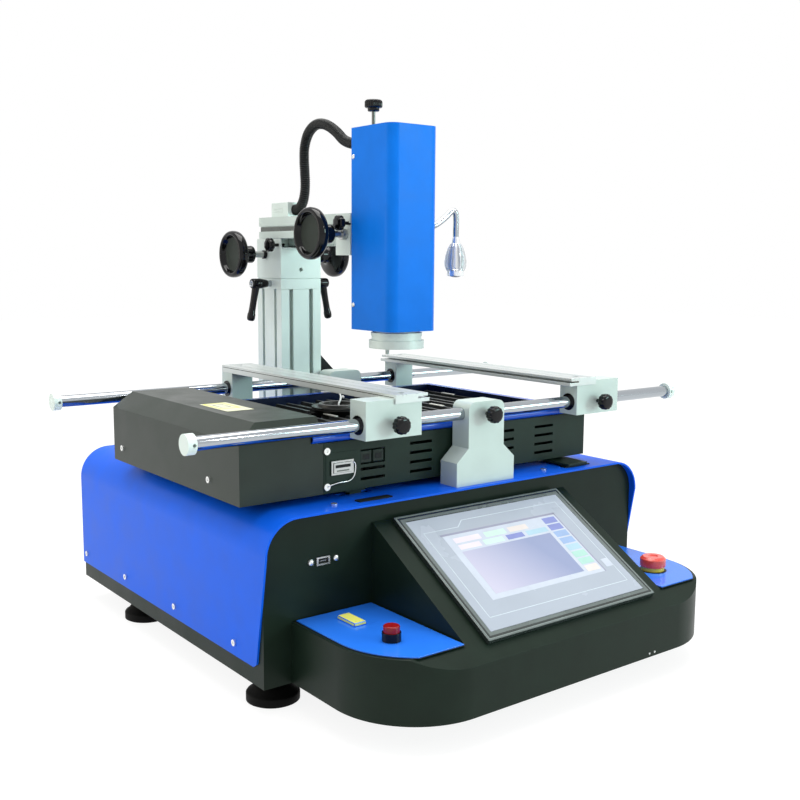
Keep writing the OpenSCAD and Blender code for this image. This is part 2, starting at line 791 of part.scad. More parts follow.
// lower hot-air nozzle: a dish with a raised ring and slots, on a tube that stands in the tray
module lower_nozzle() {
  dish_z = heat_z1 + 2;
  color([0.20, 0.20, 0.20])
  translate([noz_x, noz_y, 0]) difference() {
    rotate_extrude($fn = 64) polygon([[17, heat_z0 - 2], [19.8, heat_z0 - 2], [19.8, dish_z - 8],
      [31, dish_z], [31, dish_z + 3], [24, dish_z + 3], [23, dish_z + 6], [18, dish_z + 6], [17, dish_z + 3],
      [6, dish_z + 3], [6, dish_z], [17, dish_z]]);
    for (a = [0:45:315]) rotate([0, 0, a]) translate([8.5, -1.5, dish_z - 2]) cube([7, 3, 10]);
  }
}

// plated connector in the front opening of the tray, two grey ones in the window beside it
module tray_connector() {
  z0 = socket_z - 6.5;
  color(silver)
  difference() {
    union() {
      translate([socket_x - 11, heat_y0 - 1.5, z0]) cube([22, 13.5, 13]);
      for (x = [window_x - 14, window_x + 1]) translate([x, heat_y0 + 4, z0]) cube([13, 8, 12]);
      translate([socket_x - 14, heat_y0 + 11, heat_z0 + 4])
        cube([window_x - socket_x + 29, 2.5, socket_z + 3 - heat_z0]);
    }
    translate([socket_x - 8.5, heat_y0 - 2, socket_z - 3.5]) cube([17, 9, 7]);
  }
}

// screws of the preheater's front wall and end cover
module tray_screws() {
  color(steel) {
    for (z = tray_screw_z) screw_front(tray_screw_x, heat_y0, z, 7);
    for (y = [95, 300]) screw_left(heat_x0, y, 183, 6.4);
  }
}

// square column with two slots in every face and a foot plate
module column() {
  slot = 5.5;
  color(silver)
  difference() {
    union() {
      translate([col_x - col_w / 2, col_y0, case_h + e]) cube([col_w, col_w, col_h - 2 * e]);
      translate([col_x - col_w / 2 - 4, col_y0, case_h + e]) cube([col_w + 60, col_w + 8, 8]);
    }
    for (a = [0:90:270]) translate([col_x, col_y, case_h + 12]) rotate([0, 0, a]) for (s = [-15, 15]) {
      translate([s - slot / 2, -col_w / 2 - 1, 0]) cube([slot, 8, col_h]);
      translate([s - slot, -col_w / 2 + 3, 0]) cube([2 * slot, 4, col_h]);
    }
    translate([col_x, col_y, case_h - 1]) cylinder(d = 7, h = col_h + 4);
  }
}

// black triangular brace at the column's right side
module column_gusset() {
  x0 = col_x + col_w / 2 + 0.1;
  out = 50;
  z0 = case_h + 8.1;
  color(black)
  slab_y(col_y - 4, col_y + 4) polygon([[x0, z0], [x0 + out, z0], [x0 + out, z0 + 62], [x0 + 2, z0 + 110],
    [x0, z0 + 110]]);
}

// plate on the column and the block above it that guides the arm
module saddle() {
  x0 = col_x - col_w / 2;
  seam = 0.8;
  top = saddle_z0 + saddle_h;
  notch_z = top - 11;
  color(silver) {
    difference() {
      translate([x0, col_y0, cap_z0 + e]) cube([col_w, col_w, cap_t + saddle_h - e]);
      translate([x0 - 1, col_y0 - 1, saddle_z0 - seam]) difference() {
        cube([col_w + 2, col_w + 2, seam]);
        translate([2, 2, -1]) cube([col_w - 2, col_w - 2, 4]);
      }
      translate([col_x - 7, y_shaft_y - 11.5, y_shaft_z - 11.5]) cube([14, 23, 60]);
      translate([col_x - 7, col_y0 - 1, arm_rack_z - 0.5]) cube([14, col_w + 2, 60]);
      translate([x0 + 1.5, col_y0 - 1, notch_z]) cube([col_x + 7 - x0 - 1.5, 20, 20]);
      bar_x(x0 - 5, x0 + col_w + 5, y_shaft_y, y_shaft_z, shaft_d + 2 * shaft_fit);
      bar_y(col_x, col_y0 - 3, col_y0 + 12, saddle_z0 + 11, 5);
      bar_x(x0 - 5, x0 + 10, col_y0 + lock_in, lock_z, stem_bore);
      for (s = [-1, 1]) bar_x(col_x + s * col_w / 2 - 9, col_x + s * col_w / 2 + 9, lever_y, cap_z0 + 7, 8.2);
    }
  }
}

// arm beam with a long groove in each side and the drive rack along its underside
module arm_beam() {
  y0 = arm_y0 + arm_in + 0.1;
  n = floor((arm_l - 4) / 5);
  color(silver)
  difference() {
    union() {
      translate([arm_x0, y0, arm_z0]) cube([arm_w, arm_l, arm_h]);
      translate([col_x - 6.5, y0 + 1, arm_rack_z]) cube([13, arm_l - 2, arm_z0 + 1 - arm_rack_z]);
    }
    for (x = [arm_x0 - 2, arm_x0 + arm_w - 2.5]) translate([x, y0 - 1, arm_z0 + 9])
      cube([4.5, arm_l + 2, 6.5]);
    for (i = [0:n - 1]) translate([col_x - 7, y0 + 3.2 + i * 5, arm_rack_z - 1]) cube([14, 2.5, 3.4]);
    for (y = [y0 + 20, y0 + 60]) translate([arm_x0 + 9, y, arm_z1 - 3]) cylinder(d = 7, h = 4);
  }
}

// light box on the arm where the hose ends
module cable_box() {
  half_w = 12;
  color(silver)
  difference() {
    translate([hose_end_x - half_w, box_y0, arm_z1 + e]) cube([2 * half_w, box_l, box_h]);
    translate([hose_end_x - half_w - 1, box_y0 + 12, arm_z1 + 6]) cube([3, 22, 4]);
    bar_y(hose_end_x, box_y0 - 1, box_y0 + 8, hose_in_z, 13.6);
  }
}

// block at the arm's front that guides the head's slide and holds the lift shaft
module head_carrier() {
  z0 = arm_z0 - 21;
  color(silver)
  difference() {
    translate([arm_x0, arm_y0, z0]) cube([arm_w, arm_in, arm_z1 - z0]);
    translate([col_x - 7.2, arm_y0 - 1, z0 - 1]) cube([14.4, 22, arm_z1 - z0 + 2]);
    bar_x(arm_x0 - 1, arm_x0 + arm_w + 1, z_shaft_y, z_shaft_z, shaft_d + 2 * shaft_fit);
    for (x = [arm_x0 - 2, arm_x0 + arm_w - 2.5]) translate([x, arm_y0 - 1, arm_z0 + 12])
      cube([4.5, arm_in + 2, 3.5]);
    bar_x(arm_x0 - 1, arm_x0 + 10, lift_lock_y, lift_lock_z, stem_bore);
  }
}

// pinion with n tapered teeth round a hub, axis along X
module pinion(x0, x1, y, z, r, n) {
  translate([x0, y, z]) rotate([90, 0, 90]) linear_extrude(height = x1 - x0) {
    circle(r = r - 2.4);
    for (i = [0:n - 1]) rotate(i * 360 / n) polygon([[r - 4, -1.5], [r, -0.7], [r, 0.7], [r - 4, 1.5]]);
  }
}

// cross shaft under the arm with its pinion, which drives the arm's rack
module reach_shaft() {
  color(steel) {
    bar_x(col_x - wheel_out - 18, col_x + wheel_out + 18, y_shaft_y, y_shaft_z, shaft_d);
    pinion(col_x - 5.5, col_x + 5.5, y_shaft_y, y_shaft_z, reach_r, 13);
  }
}

// dished hand wheel with a closed face and a conical back, axis along X: dir -1 faces left, 1 faces right
module hand_wheel(x, y, z, dir) {
  r = wheel_d / 2;
  b = shaft_d / 2;
  translate([x, y, z]) rotate([0, dir * 90, 0]) rotate_extrude($fn = 96)
    polygon([[b, 0], [10, 0], [11, 1], [11, 15], [r - 4.5, 20], [r - 2, 20], [r, 22], [r, 31], [r - 2, 33],
      [r - 6, 33], [r - 8.5, 25.5], [0, 25.5], [0, 20], [b, 20]]);
}

module reach_wheels() {
  color(black) {
    hand_wheel(col_x - wheel_out, y_shaft_y, y_shaft_z, -1);
    hand_wheel(col_x + wheel_out, y_shaft_y, y_shaft_z, 1);
    for (s = [-1, 1]) difference() {
      bar_x(col_x + s * (col_w / 2 + 2.3) - 2, col_x + s * (col_w / 2 + 2.3) + 2, y_shaft_y, y_shaft_z, 11);
      bar_x(col_x - col_w, col_x + col_w, y_shaft_y, y_shaft_z, shaft_d);
    }
  }
}

// lift shaft through the front block, with its pinion
module lift_shaft() {
  color(steel) {
    bar_x(col_x - wheel_out - 18, arm_x0 + arm_w - 4, z_shaft_y, z_shaft_z, shaft_d);
    pinion(col_x - 5.5, col_x + 5.5, z_shaft_y, z_shaft_z, lift_r, 10);
    bar_x(arm_x0 - 6, arm_x0 - 0.1, z_shaft_y, z_shaft_z, 13);
  }
}

module lift_wheel() {
  color(black) hand_wheel(col_x - wheel_out, z_shaft_y, z_shaft_z, -1);
}

// small black thumb knobs: one locks the arm, one locks the head's slide; x is the face they enter
module thumb_knob(x, y, z) {
  d = 18;
  color(black)
  translate([x, y, z]) rotate([0, -90, 0]) difference() {
    union() {
      translate([0, 0, -9]) cylinder(d = stem_d, h = 18);
      translate([0, 0, 8.2]) cylinder(d1 = d - 3, d2 = d, h = 1.5);
      translate([0, 0, 9.7]) cylinder(d = d, h = 5);
      translate([0, 0, 14.7]) cylinder(d1 = d, d2 = d - 4, h = 1.5);
    }
    for (a = [0:45:315]) rotate([0, 0, a]) translate([d / 2 + 0.7, 0, 8]) cylinder(d = 3, h = 9, $fn = 16);
  }
}

module arm_lock() {
  thumb_knob(col_x - col_w / 2, col_y0 + lock_in, lock_z);
}

module lift_lock() {
  thumb_knob(arm_x0, lift_lock_y, lift_lock_z);
}

// clamping lever at the column's cap: stud, hub and rounded grip that leans outward
module clamp_lever(side) {
  grip = 48;
  color(black)
  translate([col_x + side * col_w / 2, lever_y, cap_z0 + 7]) {
    rotate([0, side * 90, 0]) {
      translate([0, 0, -8]) cylinder(d = 8, h = 16);
      translate([0, 0, 5]) cylinder(d1 = 9, d2 = 13, h = 9);
      translate([0, 0, 14]) cylinder(d = 13, h = 13);
      translate([0, 0, 27]) cylinder(d1 = 13, d2 = 11.4, h = 0.9);
    }
    translate([side * 20.5, 0, 0]) rotate([180, -side * 8, 0]) {
      cylinder(d1 = 10, d2 = 8.5, h = grip - 10);
      translate([0, 0, grip - 10]) cylinder(d1 = 8.5, d2 = 10.5, h = 4);
      translate([0, 0, grip - 6]) cylinder(d = 10.5, h = 4);
      translate([0, 0, grip - 2]) cylinder(d1 = 10.5, d2 = 7, h = 2.5);
    }
  }
}

module lever_left() {
  clamp_lever(-1);
}

module lever_right() {
  clamp_lever(1);
}

// plan of the head, front corners rounded, inset by t
module head_plan(t) {
  r = head_r - t;
  w = head_w - 2 * t;
  d = head_d - 2 * t;
  translate([head_x0 + t, head_y0 + t + r]) square([w, d - r]);
  translate([head_x0 + t + r, head_y0 + t]) square([w - 2 * r, d]);
  for (x = [head_x0 + t + r, head_x1 - t - r]) translate([x, head_y0 + t + r]) circle(r = r, $fn = 64);
}

// blue head housing, open below behind a recessed floor
module head_shell() {
  color([0.10, 0.42, 0.88])
  difference() {
    translate([0, 0, head_z0]) linear_extrude(height = head_h) head_plan(0);
    translate([0, 0, head_z0 + 4]) linear_extrude(height = head_h - 6) head_plan(2);
    translate([0, 0, head_z0 - 1]) linear_extrude(height = 3) head_plan(2);
    translate([col_x, air_y, head_z0 - 2]) cylinder(d = 48, h = 12);
    translate([knob_x, knob_y, head_z1 - 5]) cylinder(d = 4.12, h = 10);
    bar_y(hose_x, head_y1 - 5, head_y1 + 5, hose_z, 14);
    bar_x(head_x1 - 5, head_x1 + 2, lamp_y, lamp_z, 7);
    for (z = [head_z0 + 28, head_z1 - 32]) for (x = [head_x0 - 1, head_x1 - 3])
      bar_x(x, x + 4, head_y1 - 4, z, 3.2);
  }
}

// slide plate on the back of the head with its toothed rack
module head_slide() {
  z0 = head_z0 + 40;
  h = 150;
  n = floor((h - 6) / 4.7);
  color(steel)
  difference() {
    union() {
      translate([col_x - 26, head_y1 + 0.1, z0]) cube([52, slide_t, h]);
      translate([col_x - 6.5, head_y1 + slide_t - 1, z0]) cube([13, rack_t + 1.1, h]);
    }
    for (i = [0:n - 1]) translate([col_x - 8, head_y1 + slide_t + 1, z0 + 4 + i * 4.7]) cube([16, 4, 2.4]);
    for (x = [-20, 20]) for (z = [z0 + 12, z0 + h - 12]) bar_y(col_x + x, head_y1 + 4, head_y1 + 9, z, 7);
  }
}

// hot-air core inside the head: blower drum above a heater tube
module air_core() {
  color([0.60, 0.60, 0.58])
  difference() {
    union() {
      translate([col_x, air_y, head_z0 + 2.2]) cylinder(d = 40, h = 126);
      translate([col_x, air_y, head_z0 + 128]) cylinder(d = 56, h = 40);
    }
    translate([col_x, air_y, head_z0 - 1]) cylinder(d = 34, h = 122);
  }
}

// nozzle under the head: two rings and the flange that seats in the housing
module nozzle() {
  pickup_tube();
  color([0.80, 0.80, 0.78])
  translate([col_x, air_y, 0]) difference() {
    union() {
      translate([0, 0, head_z0 - 20]) cylinder(d = nozzle_d, h = 9);
      translate([0, 0, head_z0 - 11.2]) cylinder(d = nozzle_d - 6, h = 9);
      translate([0, 0, head_z0 - 6]) cylinder(d = nozzle_d - 4.4, h = 3.6);
      translate([0, 0, head_z0 - 6]) cylinder(d = 47.6, h = 8);
    }
    translate([0, 0, head_z0 - 16]) cylinder(d = 33.6, h = 20);
    for (a = [0:60:300]) rotate([0, 0, a]) translate([10, 0, head_z0 - 21]) cylinder(d = 6, h = 8, $fn = 24);
  }
}

// thin pick-up tube under the nozzle
module pickup_tube() {
  color(steel)
  translate([col_x - 13, air_y, head_z0 - 27]) difference() {
    cylinder(d = 4.4, h = 9);
    translate([0, 0, -1]) cylinder(d = 2, h = 12);
  }
}

// screw with a hub and a flat knob in the top of the head
module top_knob() {
  color(black)
  translate([knob_x, knob_y, 0]) difference() {
    union() {
      translate([0, 0, head_z1 - 8]) cylinder(d = 4, h = 26);
      translate([0, 0, head_z1 + 16]) cylinder(d = 12, h = 5);
      translate([0, 0, head_z1 + 20]) cylinder(d = 20, h = 8);
      translate([0, 0, head_z1 + 28]) cylinder(d1 = 20, d2 = 16, h = 1.5);
    }
    for (a = [0:30:330]) rotate([0, 0, a]) translate([10.8, 0, head_z1 + 19.5])
      cylinder(d = 2.6, h = 11, $fn = 12);
  }
}

// collar of the air hose on the back of the head
module hose_collar() {
  color(black)
  translate([hose_x, head_y1 - 3, hose_z]) rotate([-90, 0, 0]) difference() {
    union() {
      cylinder(d = 13.9, h = 6);
      translate([0, 0, 3.1]) cylinder(d = 20, h = 9.8);
    }
    translate([0, 0, -1]) cylinder(d = 9, h = 20);
  }
}

// unit vector along v
function unit(v) = v / norm(v);

// direction of the hose at route point i
function hose_dir(i) = unit(hose_path[min(i + 1, len(hose_path) - 1)] - hose_path[max(i - 1, 0)]);

// one ring of points round the hose's route at point i
function hose_ring(i) = let (t = hose_dir(i), u = unit([1, 0, 0] - t[0] * t), v = cross(t, u))
  [for (k = [0:hose_sides - 1]) hose_path[i] + hose_d / 2 * (cos(k * 360 / hose_sides) * u
    + sin(k * 360 / hose_sides) * v)];

// corrugated air hose as one plain tube swept along its route
module air_hose() {
  n = len(hose_path);
  m = hose_sides;
  rings = [for (i = [0:n - 1]) each hose_ring(i)];
  sides = [for (i = [0:n - 2]) for (k = [0:m - 1])
    [i * m + k, (i + 1) * m + k, (i + 1) * m + (k + 1) % m, i * m + (k + 1) % m]];
  ends = [[for (k = [0:m - 1]) k], [for (k = [m - 1:-1:0]) (n - 1) * m + k]];
  color(black) polyhedron(points = rings, faces = concat(sides, ends));
}

// lamp: bent tube from the head's right side, bell with upright fins
module lamp() {
  d = 6.6;
  color([0.82, 0.83, 0.84]) {
    bar_x(head_x1 - 4, head_x1 + 30, lamp_y, lamp_z, d);
    translate([head_x1 + 29, lamp_y, lamp_z]) rotate([0, 58, 0]) cylinder(d = d, h = 31);
    translate([lamp_x - 3, lamp_y, lamp_z + 16.5]) sphere(d = 8.4, $fn = 24);
    translate([lamp_x - 3, lamp_y, lamp_z + 16.5]) rotate([0, 180 - 6, 0]) cylinder(d = 7.2, h = 34);
    translate([lamp_x, lamp_y, bell_z]) {
      cylinder(d = 25, h = 3);
      cylinder(d1 = 19, d2 = 14, h = 24);
      translate([0, 0, 24]) cylinder(d1 = 14, d2 = 9, h = 9);
      intersection() {
        for (a = [0:30:150]) rotate([0, 0, a]) translate([-13, -0.9, 0]) cube([26, 1.8, 22]);
        cylinder(d1 = 26, d2 = 19, h = 22);
      }
    }
  }
}

// dark glass of the lamp
module lamp_lens() {
  color([0.30, 0.31, 0.33])
  translate([lamp_x, lamp_y, bell_z - 9]) difference() {
    cylinder(d = 20, h = 8.9);
    translate([0, 0, -1]) cylinder(d = 13, h = 4);
  }
}

place() chassis();
place() top_cover();
place() case_screws();
place() feet();
place() console();
place() deck_panels();
place() screen_bezel();
place() screen_glass();
place() probe_socket();
place() button_collar();
place() start_button();
place() estop_base();
place() estop_button();
place() data_port();
place() power_inlet();
place() power_supply();
place() control_board();
place() rail_posts();
place() rods();
place() rod_caps();
place() bar_left();
place() bar_right();
place() blocks_left();
place() blocks_right();
place() sleeves_left();
place() sleeves_right();
place() lock_knob_left();
place() lock_knob_right();
place() rod_lock_front();
place() rod_lock_rear();
place() heater_tray();
place() end_cover();
place() heater_frame();
place() ir_heaters();
place() lower_nozzle();
place() tray_connector();
place() tray_screws();
place() column();
place() column_gusset();
place() saddle();
place() arm_beam();
place() cable_box();
place() head_carrier();
place() reach_shaft();
place() reach_wheels();
place() lift_shaft();
place() lift_wheel();
place() arm_lock();
place() lift_lock();
place() lever_left();
place() lever_right();
place() head_shell();
place() head_slide();
place() air_core();
place() nozzle();
place() top_knob();
place() hose_collar();
place() air_hose();
place() lamp();
place() lamp_lens();
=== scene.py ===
import bpy
import bmesh
import json
import math
from mathutils import Matrix, Vector


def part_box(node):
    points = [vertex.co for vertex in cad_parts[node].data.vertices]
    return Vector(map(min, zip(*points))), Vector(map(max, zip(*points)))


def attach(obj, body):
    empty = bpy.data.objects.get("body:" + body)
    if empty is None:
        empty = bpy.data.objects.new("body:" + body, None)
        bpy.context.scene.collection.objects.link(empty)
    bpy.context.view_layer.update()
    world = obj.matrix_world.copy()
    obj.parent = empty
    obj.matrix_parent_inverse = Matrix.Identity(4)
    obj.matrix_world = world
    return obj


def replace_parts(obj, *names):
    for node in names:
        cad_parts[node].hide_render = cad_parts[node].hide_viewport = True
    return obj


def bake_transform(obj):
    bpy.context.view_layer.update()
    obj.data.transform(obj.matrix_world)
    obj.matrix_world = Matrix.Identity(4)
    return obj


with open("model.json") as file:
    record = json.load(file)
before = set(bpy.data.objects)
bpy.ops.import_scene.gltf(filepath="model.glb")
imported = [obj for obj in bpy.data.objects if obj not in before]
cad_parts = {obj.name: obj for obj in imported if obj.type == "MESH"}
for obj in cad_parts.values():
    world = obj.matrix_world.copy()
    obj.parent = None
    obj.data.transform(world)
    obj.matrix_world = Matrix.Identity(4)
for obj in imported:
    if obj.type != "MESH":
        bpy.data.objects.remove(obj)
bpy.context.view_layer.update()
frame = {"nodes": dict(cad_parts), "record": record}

# The machine's own frame in millimetres: x 0 at the case's middle, y 0 at the cover's front edge, z 0 at the
# case's underside.
OX, OY, OZ = -6.0, -148.775, 27.0
ROD_Z = 234                      # height of both rods' axes
CAMERA_AT = (-704.98, -784.28, 392.66)
REACH_YZ = (398, 397)            # axis of the cross shaft and its two wheels
LIFT_YZ = (217.0, 420.3)         # axis of the lift shaft and its wheel
LAMP_AT = (108, 165, 371)        # underside of the lamp's bell
CONSOLE_Z = 59                   # the console's top face


def P(x, y, z):
    """A point in machine millimetres as metres in the shared frame."""
    return Vector(((x + OX) / 1000, (y + OY) / 1000, (z + OZ) / 1000))


# ---------------------------------------------------------------- camera
yaw, pitch, roll = math.radians(37.59), math.radians(7.75), math.radians(0.36)
fwd = Vector((math.sin(yaw) * math.cos(pitch), math.cos(yaw) * math.cos(pitch), -math.sin(pitch)))
right0 = Vector((math.cos(yaw), -math.sin(yaw), 0))
up0 = right0.cross(fwd)
right = math.cos(roll) * right0 + math.sin(roll) * up0
up = -math.sin(roll) * right0 + math.cos(roll) * up0
cam_data = bpy.data.cameras.new("camera")
cam_data.lens = 46.70
cam_data.sensor_width = 36.0
cam_data.clip_start = 0.02
cam_data.clip_end = 60
cam = bpy.data.objects.new("camera", cam_data)
bpy.context.collection.objects.link(cam)
cm = Matrix((right, up, -fwd)).transposed().to_4x4()
cm.translation = P(*CAMERA_AT)
cam.matrix_world = cm
bpy.context.scene.camera = cam


# ---------------------------------------------------------------- materials
def surface(name, color, rough, metal=0.0, vary=0.05, vary_scale=30.0, rough_vary=0.05, grain=0.2,
            grain_scale=1500.0, grain_depth=0.0001, stretch=(1, 1, 1), coat=0.0, coat_rough=0.1, spec=0.5,
            second=None, second_at=0.62, second_scale=60.0):
    """Procedural material: clouded colour, clouded roughness and a fine grain in the bump."""
    mat = bpy.data.materials.new(name)
    mat.use_nodes = True
    nt = mat.node_tree
    nt.nodes.clear()
    out = nt.nodes.new("ShaderNodeOutputMaterial")
    bsdf = nt.nodes.new("ShaderNodeBsdfPrincipled")
    nt.links.new(bsdf.outputs[0], out.inputs[0])
    bsdf.inputs["Metallic"].default_value = metal
    bsdf.inputs["Roughness"].default_value = rough
    bsdf.inputs["IOR"].default_value = 1.5
    bsdf.inputs["Specular IOR Level"].default_value = spec
    bsdf.inputs["Coat Weight"].default_value = coat
    bsdf.inputs["Coat Roughness"].default_value = coat_rough
    tc = nt.nodes.new("ShaderNodeTexCoord")
    mp = nt.nodes.new("ShaderNodeMapping")
    mp.inputs["Scale"].default_value = stretch
    nt.links.new(tc.outputs["Object"], mp.inputs[0])
    n1 = nt.nodes.new("ShaderNodeTexNoise")
    n1.inputs["Scale"].default_value = vary_scale
    n1.inputs["Detail"].default_value = 4
    nt.links.new(mp.outputs[0], n1.inputs["Vector"])
    ramp = nt.nodes.new("ShaderNodeValToRGB")
    lo = [max(0, c * (1 - vary)) for c in color[:3]] + [1]
    hi = [min(1, c * (1 + vary)) for c in color[:3]] + [1]
    ramp.color_ramp.elements[0].position = 0.3
    ramp.color_ramp.elements[0].color = lo
    ramp.color_ramp.elements[1].position = 0.7
    ramp.color_ramp.elements[1].color = hi
    nt.links.new(n1.outputs[0], ramp.inputs[0])
    last = ramp.outputs[0]
    if second is not None:
        n3 = nt.nodes.new("ShaderNodeTexNoise")
        n3.inputs["Scale"].default_value = second_scale
        n3.inputs["Detail"].default_value = 6
        nt.links.new(mp.outputs[0], n3.inputs["Vector"])
        r3 = nt.nodes.new("ShaderNodeValToRGB")
        r3.color_ramp.elements[0].position = second_at
        r3.color_ramp.elements[0].color = (0, 0, 0, 1)
        r3.color_ramp.elements[1].position = min(1.0, second_at + 0.12)
        r3.color_ramp.elements[1].color = (1, 1, 1, 1)
        nt.links.new(n3.outputs[0], r3.inputs[0])
        mx = nt.nodes.new("ShaderNodeMix")
        mx.data_type = "RGBA"
        nt.links.new(r3.outputs[0], mx.inputs[0])
        nt.links.new(last, mx.inputs[6])
        mx.inputs[7].default_value = (*second[:3], 1)
        last = mx.outputs[2]
    nt.links.new(last, bsdf.inputs["Base Color"])
    if rough_vary > 0:
        mr = nt.nodes.new("ShaderNodeMapRange")
        mr.inputs["From Min"].default_value = 0.3
        mr.inputs["From Max"].default_value = 0.7
        mr.inputs["To Min"].default_value = max(0.02, rough - rough_vary)
        mr.inputs["To Max"].default_value = min(1.0, rough + rough_vary)
        nt.links.new(n1.outputs[0], mr.inputs["Value"])
        nt.links.new(mr.outputs[0], bsdf.inputs["Roughness"])
    if grain > 0:
        n2 = nt.nodes.new("ShaderNodeTexNoise")
        n2.inputs["Scale"].default_value = grain_scale
        n2.inputs["Detail"].default_value = 2
        nt.links.new(mp.outputs[0], n2.inputs["Vector"])
        bp = nt.nodes.new("ShaderNodeBump")
        bp.inputs["Strength"].default_value = grain
        bp.inputs["Distance"].default_value = grain_depth
        nt.links.new(n2.outputs[0], bp.inputs["Height"])
        nt.links.new(bp.outputs[0], bsdf.inputs["Normal"])
    return mat


BLUE = surface("blue_paint", (0.003, 0.114, 0.78), 0.38, vary=0.05, grain=0.12, grain_scale=700, spec=0.13)
HEAD_BLUE = surface("head_blue", (0.004, 0.188, 0.80), 0.34, vary=0.05, grain=0.10, grain_scale=600,
                    spec=0.10)
FRAME_BLUE = surface("frame_blue", (0.006, 0.075, 0.52), 0.20, vary=0.05, grain=0.06, grain_scale=700,
                     spec=0.55)
# a dark copy of the frame's blue for the frame's inner wall: painted shade
FRAME_WALL_SHADE = surface("frame_wall_painted_shade", (0.002, 0.008, 0.040), 0.30, vary=0.10, grain=0.10, grain_scale=900, spec=0.25)
DECK_BLUE = surface("deck_blue", (0.022, 0.190, 0.86), 0.20, vary=0.06, vary_scale=12, grain=0.06,
                    grain_scale=700, spec=0.50)
DARK = surface("dark_paint", (0.008, 0.017, 0.011), 0.38, vary=0.12, grain=0.40, grain_scale=1500,
               grain_depth=0.00015, spec=0.14)
TRAY = surface("tray_paint", (0.012, 0.026, 0.018), 0.38, vary=0.12, grain=0.35, grain_scale=1400,
               grain_depth=0.00015, spec=0.18)
COVER = surface("cover_paint", (0.022, 0.031, 0.024), 0.36, vary=0.10, grain=0.35, grain_scale=1400,
                grain_depth=0.00015, spec=0.24)
SILVER = surface("silver", (0.70, 0.79, 0.75), 0.42, metal=0.18, vary=0.03, rough_vary=0.06, grain=0.20,
                 grain_scale=2600, grain_depth=0.00006)
ARM = surface("arm_silver", (0.60, 0.69, 0.65), 0.42, metal=0.18, vary=0.03, rough_vary=0.06, grain=0.20,
              grain_scale=2600, grain_depth=0.00006)
CAST = surface("cast_silver", (0.55, 0.64, 0.60), 0.42, metal=0.18, vary=0.03, rough_vary=0.06, grain=0.20,
               grain_scale=2600, grain_depth=0.00006)
BAR = surface("bar_aluminium", (0.60, 0.64, 0.63), 0.32, metal=0.6, vary=0.05, rough_vary=0.08, grain=0.25,
              grain_scale=900, grain_depth=0.00006, stretch=(1, 0.03, 1))
CHROME = surface("chrome", (0.40, 0.43, 0.46), 0.09, metal=1.0, vary=0.03, rough_vary=0.03, grain=0.03,
                 grain_scale=500, stretch=(0.05, 1, 1))
STEEL = surface("steel", (0.46, 0.47, 0.47), 0.28, metal=1.0, vary=0.06, rough_vary=0.08, grain=0.10,
                grain_scale=1800)
BRIGHT = surface("bright_screw", (0.80, 0.81, 0.80), 0.24, metal=0.9, vary=0.06, rough_vary=0.08, grain=0.10,
                 grain_scale=1800)
LAMP_SILVER = surface("lamp_silver", (0.84, 0.85, 0.86), 0.22, metal=0.7, vary=0.04, grain=0.05,
                      grain_scale=900)
# dark steel for the top knob's stem, also used for dark lines that stand for the shade in grooves: painted
# shade
STEM_AND_GROOVE_SHADE = surface("stem_steel_and_groove_shade", (0.13, 0.14, 0.13), 0.30, metal=1.0, vary=0.10, rough_vary=0.08, grain=0.10,
               grain_scale=1800)
BLACK = surface("black_gloss", (0.003, 0.003, 0.004), 0.09, vary=0.2, rough_vary=0.03, grain=0.04,
                grain_scale=600, spec=0.26)
BLACK_MATTE = surface("black_matte", (0.007, 0.008, 0.008), 0.50, vary=0.15, grain=0.25, grain_scale=1800,
                      spec=0.2)
DISH = surface("dish_grey", (0.028, 0.036, 0.030), 0.45, vary=0.20, grain=0.40, grain_scale=2200, spec=0.15)
FOOT = surface("foot_rubber", (0.003, 0.003, 0.003), 0.60, vary=0.2, grain=0.30, grain_scale=1500, spec=0.10)
HOSE = surface("hose_rubber", (0.003, 0.004, 0.004), 0.34, vary=0.2, grain=0.10, grain_scale=1500, spec=0.22)
# a lighter copy of the hose rubber for the corrugation crests: painted glint
RIDGE_GLINT = surface("hose_ridge_painted_glint", (0.016, 0.018, 0.018), 0.24, vary=0.2, grain=0.10, grain_scale=1500, spec=0.50)
BEZEL = surface("bezel", (0.018, 0.026, 0.024), 0.26, vary=0.08, grain=0.25, grain_scale=2500, spec=0.60)
# a lighter copy of the bezel's paint for its face (painted sheen) and a brighter one for its outer edge
# (painted highlight)
BEZEL_FACE_SHEEN = surface("bezel_face_painted_sheen", (0.125, 0.150, 0.146), 0.28, vary=0.08, grain=0.25, grain_scale=2500)
BEZEL_EDGE_HIGHLIGHT = surface("bezel_edge_painted_highlight", (0.20, 0.24, 0.23), 0.28, vary=0.08, grain=0.25, grain_scale=2500)
OVERLAY = surface("overlay", (0.385, 0.425, 0.50), 0.26, vary=0.04, vary_scale=14, rough_vary=0.04,
                  grain=0.05, grain_scale=1500, coat=0.3)
YELLOW = surface("yellow", (0.98, 0.98, 0.20), 0.30, vary=0.05, grain=0.08, grain_scale=900)
AMBER = surface("amber", (0.88, 0.66, 0.06), 0.32, vary=0.05, grain=0.08, grain_scale=900)
RED = surface("red", (0.76, 0.070, 0.050), 0.30, vary=0.08, grain=0.05, grain_scale=900, coat=0.5,
              coat_rough=0.2)
DARK_RED = surface("dark_red", (0.26, 0.006, 0.007), 0.22, vary=0.15, grain=0.05, grain_scale=900, coat=0.1,
                   spec=0.3)
GREEN = surface("board_green", (0.02, 0.16, 0.06), 0.35, vary=0.1, grain=0.1, grain_scale=900)
HEATER = surface("heater", (0.020, 0.022, 0.022), 0.34, vary=0.25, vary_scale=60, grain=0.35,
                 grain_scale=1600, second=(0.045, 0.046, 0.046), second_at=0.6, spec=0.45)
DARK_STEEL = surface("dark_steel", (0.030, 0.030, 0.028), 0.34, metal=0.5, vary=0.3, vary_scale=90, grain=0.2)
